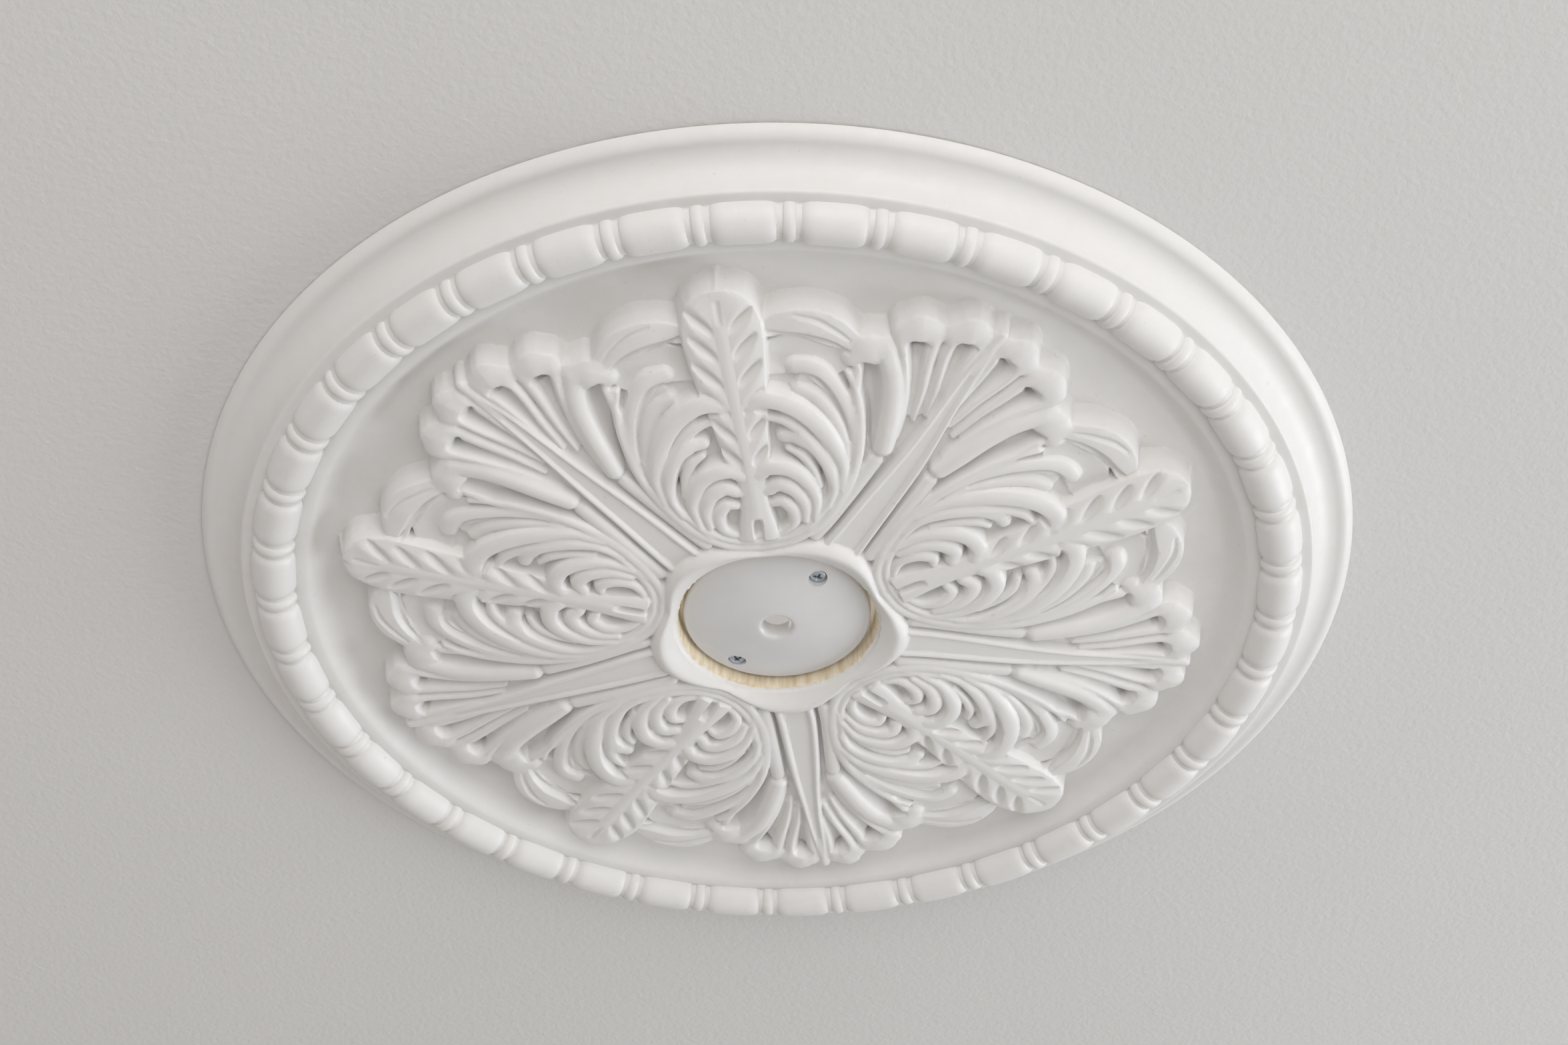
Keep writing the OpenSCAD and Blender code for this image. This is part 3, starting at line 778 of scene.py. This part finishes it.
# rings from the hole's back edge to the carving: (radius, drop, depth of hollow, foam share); the depth of
# hollow darkens the paint with dust and painted shade
wallRings = [(40.05, 0.0, 0.0, 1.0), (40.05, 4, 0.0, 1.0), (40.1, 9, 0.0, 1.0), (40.1, 13.5, -0.6, 1.0),
             (40.1, 17.5, -0.8, 1.0), (40.15, 20.0, -0.8, 1.0), (40.15, 22.0, -0.6, 1.0),
             (40.2, 23.4, -0.4, 1.0), (40.25, 24.6, -0.2, 1.0), (40.35, 25.6, 0.0, 1.0),
             (40.5, 26.4, 0.0, 1.0), (40.7, 27.0, 0.0, 0.85), (40.95, 27.4, 0.2, 0.5),
             (41.3, 27.65, 0.2, 0.0), (41.8, 27.8, 0.0, 0.0)]
# rings from the carving out to the ceiling: (radius, drop, depth of hollow); the depth of hollow darkens the
# paint with dust and painted shade in the grooves and at the seam
rimProfile = [(182.0, 10.95, 0.0), (183.2, 11.2, -0.3), (184.6, 11.8, -0.6), (186.0, 12.7, -0.6),
              (187.4, 13.9, -0.4), (188.6, 15.2, -0.1), (189.6, 16.3, 0.1), (190.4, 17.0, 0.2),
              (191.2, 17.4, 0.3), (192.2, 17.6, 0.1), (193.4, 17.8, 0.0), (194.8, 17.7, -0.4),
              (195.6, 17.4, -1.2), (196.6, 17.0, -1.8)]
# the core that shows between the beads is darkened as well: dust and painted shade
coreRow = [(math.cos(t) * -rim["coreR"] + rim["ringR"], math.sin(t) * rim["coreR"] + rim["axisDrop"], -1.5)
           for t in np.linspace(0.25, math.pi - 0.25, 11)]
outerRow = [(211.6, 16.7, -1.8), (212.4, 16.7, -1.0), (213.3, 16.8, 0.0), (215.0, 16.85, 0.0),
            (216.2, 16.8, 0.1), (217.0, 16.6, 0.2)]
coveRow = [(rim["coveR"] - rim["coveWide"] * math.cos(t), rim["coveDrop"] - rim["coveRise"] * math.sin(t),
            -0.3 * math.sin(2 * t)) for t in np.linspace(0.03, math.pi / 2 - 0.05, 11)]
fasciaRow = [(228.4, 4.1, -0.3), (229.4, 4.25, 0.0), (230.5, 4.3, 0.2), (231.7, 4.0, 0.3),
             (232.8, 3.3, 0.2), (233.7, 2.4, 0.0), (234.4, 1.4, 0.0), (234.8, 0.7, 0.0),
             (234.7, 0.45, -0.5), (234.1, 0.4, -2.0), (233.9, 0.0, -2.0)]


def ragged(a, seed):
    # a jagged rise and fall round the hole, the same each run
    rng = np.random.default_rng(seed)
    out = rng.normal(0, 0.35, a.shape)
    out = 0.6 * out + 0.2 * np.roll(out, 1) + 0.2 * np.roll(out, -1)
    for waves in (3, 7, 13, 23, 37, 61, 89, 127):
        out += rng.uniform(0.5, 1.0) * np.sin(waves * a + rng.uniform(0, 6.28)) / waves ** 0.35
    return out / 2.2


def latheRings(rows, around, shift=None):
    x = np.sin(around)
    y = np.cos(around)
    out = []
    for index, row in enumerate(rows):
        r = np.full(around.shape, row[0])
        h = np.full(around.shape, row[1])
        if shift:
            r, h = shift(index, r, h, around)
        out.append(np.stack([r * x, r * y, h], -1))
    return np.concatenate(out)


def cutWall(index, r, h, around):
    # the saw's ragged wall: deep inside it is only uneven, at the lip the paint has flaked
    share = wallRings[index][3]
    atLip = math.exp(-((h[0] - rim["lipDrop"]) / rim["lipBand"]) ** 2)
    uneven = rim["wallRag"] * ragged(around, 5 + index // 3) * (share > 0.1)
    flake = rim["lipRag"] * np.maximum(ragged(around, 40), -0.4) * atLip
    return r + uneven + flake, h - rim["lipWave"] * atLip * ragged(around, 41) * (share > 0.1)


def buildRose():
    points, triangles = carvedMesh()
    innerLoop, outerLoop = rimOfNet(points, triangles)
    count = rim["segments"]
    around = np.linspace(0, 2 * math.pi, count, endpoint=False)
    rimRows = rimProfile + coreRow + outerRow + coveRow + fasciaRow
    wall = placed(latheRings(wallRings, around, cutWall))
    outer = placed(latheRings(rimRows, around))
    allPoints = np.concatenate([points, wall, outer])
    wallAt = len(points)
    outerAt = wallAt + len(wall)
    index = np.arange(count)
    following = (index + 1) % count
    quads = []
    for start, rows in ((wallAt, len(wallRings)), (outerAt, len(rimRows))):
        for k in range(rows - 1):
            low = start + k * count
            high = low + count
            quads.append(np.stack([low + index, low + following, high + following, high + index], -1))
    last = outerAt + (len(rimRows) - 1) * count
    quads.append(np.stack([last + index, last + following, wallAt + following, wallAt + index], -1))
    quads = np.concatenate(quads).tolist()
    lipLoop = (wallAt + (len(wallRings) - 1) * count + index, around)
    rimLoop = (outerAt + index, around)
    strips = zipLoops(lipLoop, innerLoop) + zipLoops(outerLoop, rimLoop)
    faces = triangles.tolist() + quads + [[int(v) for v in f] for f in strips]
    body = makeObject("roseBody", allPoints.tolist(), faces, roseMaterial)
    x, y = points[:, 0] / mm, -points[:, 1] / mm
    # cavity: where it is low the paint is darkened with dust and painted shade
    cavityValues = np.concatenate([lookUp(hollows, x, y), np.repeat([row[2] for row in wallRings], count),
                                   np.repeat([row[2] for row in rimRows], count)])
    bare = np.zeros(len(outer))
    bare[-2 * count:] = 1.0     # the back and the seam are unpainted foam
    foamValues = np.concatenate([np.zeros(len(points)), np.repeat([row[3] for row in wallRings], count),
                                 bare])
    return body, cavityValues, foamValues


print("bead and reel")
beadRing = {
    "Count": 40,
    "Ring radius": rim["ringR"] * mm,
    "Bead width": 18.5 * mm,
    "Bead length": 25.6 * mm,
    "Reel width": 17.7 * mm,
    "Reel rise": 17.6 * mm,
    "Reel length": 6.3 * mm,
    "Axis drop": rim["axisDrop"] * mm,
    "Unevenness": 0.014,
    "Seed": 7,
}
ringTree, ringIn, ringOut = makeGroup(
    "beadAndReel",
    [("Geometry", "NodeSocketGeometry", None)]
    + [(name, "NodeSocketInt" if isinstance(value, int) else "NodeSocketFloat", value)
       for name, value in beadRing.items()],
    [("Geometry", "NodeSocketGeometry")], "GeometryNodeTree")
given = ringIn.outputs
barrelSides = 18


def barrel(tree, rings, power, length, width, rise):
    # a round-ended barrel along X: a sphere squared off towards a cylinder, the more so the lower its power
    ball = addNode(tree, "GeometryNodeMeshUVSphere", {"Segments": barrelSides, "Rings": rings, "Radius": 1.0})
    parts = addNode(tree, "ShaderNodeSeparateXYZ", {0: addNode(tree, "GeometryNodeInputPosition").outputs[0]})
    x, y, z = parts.outputs
    along = times(tree, addMath(tree, "SIGN", z), addMath(tree, "POWER", addMath(tree, "ABSOLUTE", z), power))
    square = plus(tree, times(tree, x, x), times(tree, y, y))
    swell = addMath(tree, "POWER", addMath(tree, "MAXIMUM", addMath(tree, "SQRT", square), 0.0001), power - 1)
    half = [times(tree, size, 0.5) for size in (length, width, rise)]
    spot = addNode(tree, "ShaderNodeCombineXYZ", {
        0: times(tree, along, half[0]),
        1: times(tree, times(tree, x, swell), half[1]),
        2: times(tree, times(tree, y, swell), half[2])})
    return addNode(tree, "GeometryNodeSetPosition", {"Geometry": ball.outputs["Mesh"],
                                                     "Position": spot.outputs[0]}).outputs[0]


around = times(ringTree, given["Ring radius"], 2 * math.pi)
pitch = addMath(ringTree, "DIVIDE", around, given["Count"])
step = addNode(ringTree, "ShaderNodeCombineXYZ", {0: pitch}).outputs[0]
halfStep = addNode(ringTree, "ShaderNodeCombineXYZ", {0: times(ringTree, pitch, 0.5)}).outputs[0]
beadShape = barrel(ringTree, 16, 0.38, given["Bead length"], given["Bead width"], given["Bead width"])
reelShape = barrel(ringTree, 10, 0.58, given["Reel length"], given["Reel width"], given["Reel rise"])
rows = []
for shape, start, seedShift in ((beadShape, halfStep, 0), (reelShape, None, 1)):
    values = {"Count": given["Count"], "Offset": step}
    if start:
        values["Start Location"] = start
    line = addNode(ringTree, "GeometryNodeMeshLine", values, mode="OFFSET")
    seed = plus(ringTree, given["Seed"], seedShift)
    low = addMath(ringTree, "SUBTRACT", 1.0, given["Unevenness"])
    uneven = addNode(ringTree, "FunctionNodeRandomValue", {2: low, 3: 1.0, "Seed": seed}, data_type="FLOAT")
    rows.append(addNode(ringTree, "GeometryNodeInstanceOnPoints", {
        "Points": line.outputs[0], "Instance": shape, "Scale": uneven.outputs[1]}).outputs[0])
joined = addNode(ringTree, "GeometryNodeJoinGeometry")
for row in rows:
    ringTree.links.new(row, joined.inputs[0])
real = addNode(ringTree, "GeometryNodeRealizeInstances", {0: joined.outputs[0]})
straight = addNode(ringTree, "GeometryNodeInputPosition").outputs[0]
spot = addNode(ringTree, "ShaderNodeSeparateXYZ", {0: straight})
angle = addMath(ringTree, "DIVIDE", spot.outputs[0], given["Ring radius"])
reach = plus(ringTree, given["Ring radius"], spot.outputs[1])
bent = addNode(ringTree, "ShaderNodeCombineXYZ", {
    0: times(ringTree, reach, addMath(ringTree, "SINE", angle)),
    1: times(ringTree, times(ringTree, reach, addMath(ringTree, "COSINE", angle)), -1.0),
    2: addMath(ringTree, "SUBTRACT", times(ringTree, spot.outputs[2], -1.0), given["Axis drop"])})
closed = addNode(ringTree, "GeometryNodeSetPosition",
                 {"Geometry": real.outputs[0], "Position": bent.outputs[0]})
shown = addNode(ringTree, "GeometryNodeSetMaterial",
                {"Geometry": closed.outputs[0], "Material": roseMaterial})
ringTree.links.new(shown.outputs[0], ringOut.inputs[0])

ringHolder = bpy.data.objects.new("beadRing", bpy.data.meshes.new("beadRing"))
scene.collection.objects.link(ringHolder)
maker = ringHolder.modifiers.new("beads", "NODES")
maker.node_group = ringTree
for item in ringTree.interface.items_tree:
    if item.in_out == "INPUT" and item.name in beadRing:
        maker[item.identifier] = beadRing[item.name]
ringMesh = plainMesh(ringHolder, "beadRing")
bpy.data.objects.remove(ringHolder)

print("rose in one piece")
roseBody, cavityValues, foamValues = buildRose()
ringPoints = spotsOf(ringMesh) / mm
fromCentreLine = np.hypot(ringPoints[:, 0], ringPoints[:, 1]) - rim["ringR"]
beadDepth = np.hypot(fromCentreLine, ringPoints[:, 2] + rim["axisDrop"])
dustAndShadeBelow = 8.9    # what lies closer than this to the ring's centre line is darkened with dust and painted shade, in the waists between beads and reels
cavityValues = np.concatenate([cavityValues, np.clip(beadDepth - dustAndShadeBelow, -2.5, 0.3)])
foamValues = np.concatenate([foamValues, np.zeros(len(ringPoints))])
joinedMesh = bmesh.new()
joinedMesh.from_mesh(roseBody.data)
joinedMesh.from_mesh(ringMesh)
roseMesh = bpy.data.meshes.new("ceilingRose")
joinedMesh.to_mesh(roseMesh)
joinedMesh.free()
roseMesh.polygons.foreach_set("use_smooth", [True] * len(roseMesh.polygons))
roseMesh.polygons.foreach_set("material_index", [0] * len(roseMesh.polygons))
roseMesh.materials.clear()
roseMesh.materials.append(roseMaterial)
addAttribute(roseMesh, "cavity", cavityValues)
addAttribute(roseMesh, "foam", foamValues)
smear = {"at": (9, 186), "wide": 15, "deep": 9}     # filler left near the rim
spots = spotsOf(roseMesh) / mm
fillerValues = np.exp(-((spots[:, 0] - smear["at"][0]) / smear["wide"]) ** 2
                      - ((-spots[:, 1] + smear["at"][1]) / smear["deep"]) ** 2)
addAttribute(roseMesh, "filler", fillerValues)
bpy.data.objects.remove(roseBody)
ceilingRose = bpy.data.objects.new("ceilingRose", roseMesh)
scene.collection.objects.link(ceilingRose)
# the broad faces lead the shading, so that cut edges stay crisp
crisp = ceilingRose.modifiers.new("crisp", "WEIGHTED_NORMAL")
crisp.mode = "FACE_AREA"
crisp.weight = 60
crispMesh = plainMesh(ceilingRose, "ceilingRose")
ceilingRose.modifiers.remove(crisp)
ceilingRose.data = crispMesh
print("rose triangles", sum(len(p.vertices) - 2 for p in roseMesh.polygons))

print("cover plate and screws")
plate = {
    "radius": 38.2,
    "edgeDrop": 23.5,
    "bulge": 6.5,
    "thickness": 2.4,
    "backDrop": 16.5,
    "corner": 0.3,          # rounding of the plate's hidden edges
    "edgeRound": 1.5,
    "domeFrom": 9.5,        # the dome's face between the hole's lip and the edge's rounding
    "domeTo": 35.5,
    "holeR": 5.9,
    "lipRound": 2.0,
    "lipR": 8.2,
    "sleeveR": 7.9,         # the cable hole's short sleeve, outside
    "sleeveDrop": 22.6,     # and where it ends
    "bossR": 6.1,
    "recessR": 3.7,
    "seatDrop": 23.055,
    "shankHoleR": 2.0,
    "screwR": 30.0,
    "screwTurn": 32.0,
    "segments": 192,
    "toolSegments": 48,
    "crease": 38,           # degrees past which an edge is sharp
}
# drops that carry a cutting tool clear of what it cuts
clear = {"front": 29.3, "shell": 40, "shankFrom": 10, "shankTo": 26}


def plateDrop(r):
    return plate["edgeDrop"] + plate["bulge"] * (1 - (r / plate["radius"]) ** 2)


def latheMesh(rows, segments, centre=(0, 0), threadReach=None):
    # a closed solid turned from a profile, which may be listed from the back or the front if it has poles
    points, faces, rings = [], [], []
    if rows[0][0] < 1e-6 and rows[0][1] < rows[-1][1]:
        rows = rows[::-1]
    for r, h, *thread in rows:
        if r < 1e-6:
            rings.append([len(points)])
            points.append((centre[0] * mm, -centre[1] * mm, -h * mm))
            continue
        rings.append(list(range(len(points), len(points) + segments)))
        for k in range(segments):
            a = 2 * math.pi * k / segments
            reach = r + threadReach(h, k / segments, *thread) if threadReach else r
            x, y = centre[0] + reach * math.sin(a), centre[1] + reach * math.cos(a)
            points.append((x * mm, -y * mm, -h * mm))
    loops = rings if len(rings[0]) == 1 else rings + [rings[0]]
    for low, high in zip(loops[:-1], loops[1:]):
        for k in range(segments):
            n = (k + 1) % segments
            if len(low) == 1:
                faces.append((low[0], high[n], high[k]))
            elif len(high) == 1:
                faces.append((low[k], low[n], high[0]))
            else:
                faces.append((low[k], low[n], high[n], high[k]))
    return points, faces


def cutOrJoin(target, tool, operation):
    # cuts the tool out of the target or joins it on, and takes the tool away
    step = target.modifiers.new(tool.name, "BOOLEAN")
    step.operation = operation
    step.object = tool
    step.solver = "EXACT"
    mesh = plainMesh(target, target.name)
    target.modifiers.remove(step)
    old = target.data
    target.data = mesh
    bpy.data.meshes.remove(old)
    bpy.data.objects.remove(tool)


def insideShell(point):
    # keeps a boss's end within the thickness of the domed shell
    x, y, z = point
    middle = plateDrop(math.hypot(x, y) / mm) - plate["thickness"] / 2
    return (x, y, max(z, -middle * mm))


def turnedTool(name, rows, centre):
    points, faces = latheMesh(rows, plate["toolSegments"], centre)
    if name.startswith("boss"):
        points = [insideShell(point) for point in points]
    return makeObject(name, points, faces, plateMaterial)


def plateProfile():
    # from the inner side of the hole, out over the front, round the edge and back along the inside
    p = plate
    corner = p["corner"]
    quarter = math.pi / 2
    edgeFrom = p["radius"] - p["edgeRound"]
    lip = [(p["holeR"] + p["lipRound"] * (1 - math.cos(t)),
            plateDrop(p["lipR"]) - p["lipRound"] * (1 - math.sin(t))) for t in np.linspace(0, quarter, 8)]
    dome = [(r, plateDrop(r)) for r in np.linspace(p["domeFrom"], p["domeTo"], 14)]
    edge = [(p["radius"] - p["edgeRound"] * (1 - math.sin(t)),
             plateDrop(edgeFrom) - p["edgeRound"] * (1 - math.cos(t))) for t in np.linspace(0, quarter, 7)]
    skirt = [(p["radius"], 20.0), (p["radius"], p["backDrop"] + corner),
             (p["radius"] - corner, p["backDrop"]),
             (p["radius"] - p["thickness"] + corner, p["backDrop"]),
             (p["radius"] - p["thickness"], p["backDrop"] + corner)]
    inside = [(r, plateDrop(r) - p["thickness"]) for r in (35.8, 33.5, 29, 23, 17, 11, p["lipR"])]
    sleeve = [(p["sleeveR"], p["sleeveDrop"] + corner), (p["sleeveR"] - corner, p["sleeveDrop"]),
              (p["holeR"] + corner, p["sleeveDrop"]), (p["holeR"], p["sleeveDrop"] + corner)]
    return lip + dome + edge + skirt + inside + sleeve


def closeMesh(mesh):
    # merges what the cuts left a hair apart, drops slivers and closes what they leave open
    work = bmesh.new()
    work.from_mesh(mesh)
    bmesh.ops.remove_doubles(work, verts=work.verts, dist=2e-6)
    bmesh.ops.dissolve_degenerate(work, edges=work.edges, dist=2e-6)
    bmesh.ops.holes_fill(work, edges=[edge for edge in work.edges if edge.is_boundary], sides=4)
    work.to_mesh(mesh)
    work.free()


def buildPlate(spots):
    p = plate
    made = makeObject("coverPlate", *latheMesh(plateProfile(), p["segments"]), plateMaterial)
    for k, spot in enumerate(spots):
        boss = [(0, p["backDrop"]), (p["bossR"] - p["corner"], p["backDrop"]),
                (p["bossR"], p["backDrop"] + p["corner"]), (p["bossR"], clear["shell"]), (0, clear["shell"])]
        recess = [(0, p["seatDrop"]), (p["recessR"], p["seatDrop"]), (p["recessR"] + 0.2, clear["front"]),
                  (0, clear["front"])]
        shank = [(0, clear["shankFrom"]), (p["shankHoleR"], clear["shankFrom"]),
                 (p["shankHoleR"], clear["shankTo"]), (0, clear["shankTo"])]
        cutOrJoin(made, turnedTool(f"boss{k}", boss, spot), "UNION")
        cutOrJoin(made, turnedTool(f"recess{k}", recess, spot), "DIFFERENCE")
        cutOrJoin(made, turnedTool(f"shankHole{k}", shank, spot), "DIFFERENCE")
    closeMesh(made.data)
    where = spotsOf(made.data) / mm
    # the plate's inside, behind its face, and the walls round the screws are darkened: painted shade, with
    # some dust
    behindFace = -where[:, 2] < plateDrop(np.hypot(where[:, 0], where[:, 1])) - 0.8
    cavity = np.where(behindFace, -1.0, 0.3)
    for spot in spots:
        away = np.hypot(where[:, 0] - spot[0], -where[:, 1] - spot[1])
        cavity[(away < 4.2) & (-where[:, 2] < 25)] = -0.4
    addAttribute(made.data, "cavity", cavity)
    return made


screw = {
    "headR": 3.3,
    "headH": 2.2,
    "dome": 0.55,
    "domeSide": 0.5,        # the dome starts this far down the head's side
    "shankR": 1.6,
    "tipDrop": 1.5,
    "threadPitch": 1.0,
    "threadDepth": 0.28,
    "threadStep": 0.25,     # distance between the thread's rings
    "segments": 32,
    "crossHalf": 0.5,
    "crossReach": 2.3,
    "crossDepth": 1.3,
}


def screwThread(h, share, rise):
    turnShare = (h / screw["threadPitch"] - share) % 1.0
    return rise * screw["threadDepth"] / 2 * (1 - 4 * abs(turnShare - 0.5))


def screwProfile(seat, top):
    # from the tip to the crown of the head, as (radius, drop, share of the thread)
    s = screw
    shoulder = top - s["dome"] - s["domeSide"]
    rows = [(0.0, s["tipDrop"], 0.0), (0.5, s["tipDrop"] + 0.5, 0.0),
            (s["shankR"] - s["threadDepth"], s["tipDrop"] + 2.5, 0.3)]
    drop = s["tipDrop"] + 2.75
    while drop < seat - 1.5:
        rows.append((s["shankR"] - s["threadDepth"] / 2, drop, 1.0))
        drop += s["threadStep"]
    rows += [(s["shankR"] - 0.05, seat - 1.2, 0.0), (s["shankR"] - 0.05, seat, 0.0),
             (s["headR"] - 0.15, seat, 0.0), (s["headR"], seat + 0.15, 0.0), (s["headR"], shoulder, 0.0)]
    for t in np.linspace(0.15, 1, 7):
        rise = (s["dome"] + s["domeSide"]) * math.sin(t * math.pi / 2) ** 0.8
        rows.append((s["headR"] * math.cos(t * math.pi / 2), shoulder + rise, 0.0))
    rows[-1] = (0.0, top, 0.0)
    return rows


def crossWedge(centre, top, degrees):
    # one arm of the cross recess, narrower at its foot
    s = screw
    a = math.radians(degrees)
    side = Vector((math.cos(a), math.sin(a), 0))
    across = Vector((-math.sin(a), math.cos(a), 0))
    corners = []
    for h, reach, half in ((top - s["crossDepth"], s["crossReach"] * 0.55, s["crossHalf"] * 0.7),
                           (top + 0.6, s["crossReach"] * 1.1, s["crossHalf"] * 1.15)):
        for u, v in ((-1, -1), (1, -1), (1, 1), (-1, 1)):
            spot = Vector((centre[0], -centre[1], -h)) + side * reach * u + across * half * v
            corners.append(spot * mm)
    sides = [(0, 1, 2, 3), (7, 6, 5, 4), (0, 4, 5, 1), (1, 5, 6, 2), (2, 6, 7, 3), (3, 7, 4, 0)]
    tool = makeObject("cross", corners, sides, screwMaterial)
    wedge = bmesh.new()
    wedge.from_mesh(tool.data)
    bmesh.ops.recalc_face_normals(wedge, faces=wedge.faces[:])
    wedge.to_mesh(tool.data)
    wedge.free()
    return tool


def buildScrew(name, centre, lean):
    # lean: how far the cross is turned, in degrees
    s = screw
    top = plate["seatDrop"] + s["headH"]
    rows = screwProfile(plate["seatDrop"], top)
    made = makeObject(name, *latheMesh(rows, s["segments"], centre, screwThread), screwMaterial)
    for quarter in (0, 1):
        cutOrJoin(made, crossWedge(centre, top, lean + 90 * quarter), "DIFFERENCE")
    spots = spotsOf(made.data) / mm
    away = np.hypot(spots[:, 0] - centre[0], -spots[:, 1] - centre[1])
    dome = np.sqrt(np.clip(1 - (away / s["headR"]) ** 2, 0, 1)) ** 0.8
    level = top - s["dome"] - s["domeSide"] + (s["dome"] + s["domeSide"]) * dome
    # the cross recess is painted near black: painted shade
    values = np.where((away < s["headR"] - 0.05) & (-spots[:, 2] < level - 0.15), -2.0, 0.2)
    addAttribute(made.data, "cavity", values)
    return made


screwTurn = math.radians(plate["screwTurn"])
screwSpots = [(plate["screwR"] * math.sin(screwTurn) * side, plate["screwR"] * math.cos(screwTurn) * side)
              for side in (1, -1)]
coverPlate = buildPlate(screwSpots)
screws = [buildScrew("plateScrewA", screwSpots[0], 20), buildScrew("plateScrewB", screwSpots[1], 55)]
for piece in [coverPlate] + screws:
    piece.data.polygons.foreach_set("use_smooth", [True] * len(piece.data.polygons))
    piece.data.set_sharp_from_angle(angle=math.radians(plate["crease"]))

print("stage")
stage = {"half": 3.2, "lift": 0.00004, "openingR": 0.2338, "sides": 64}
half = stage["half"]
count = stage["sides"]
points = []
for reach in (stage["openingR"], half):
    for k in range(count):
        a = 2 * math.pi * k / count
        points.append((reach * math.sin(a), reach * math.cos(a), stage["lift"]))
faces = [(k, count + k, count + (k + 1) % count, (k + 1) % count) for k in range(count)]
makeObject("ceiling", points, faces, ceilingMaterial)
corners = [(x * half, y * half, studio["floorAt"]) for x, y in ((-1, -1), (1, -1), (1, 1), (-1, 1))]
makeObject("floor", corners, [(0, 1, 2, 3)], floorMaterial)

print("what each piece stands for")
for piece, node, slot in ((ceilingRose, "rose", "rose_paint"), (coverPlate, "cover_plate", "plate_plastic"),
                          (screws[0], "plate_screw_1", "screw_zinc"),
                          (screws[1], "plate_screw_2", "screw_zinc")):
    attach(piece, "root")
    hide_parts(node)
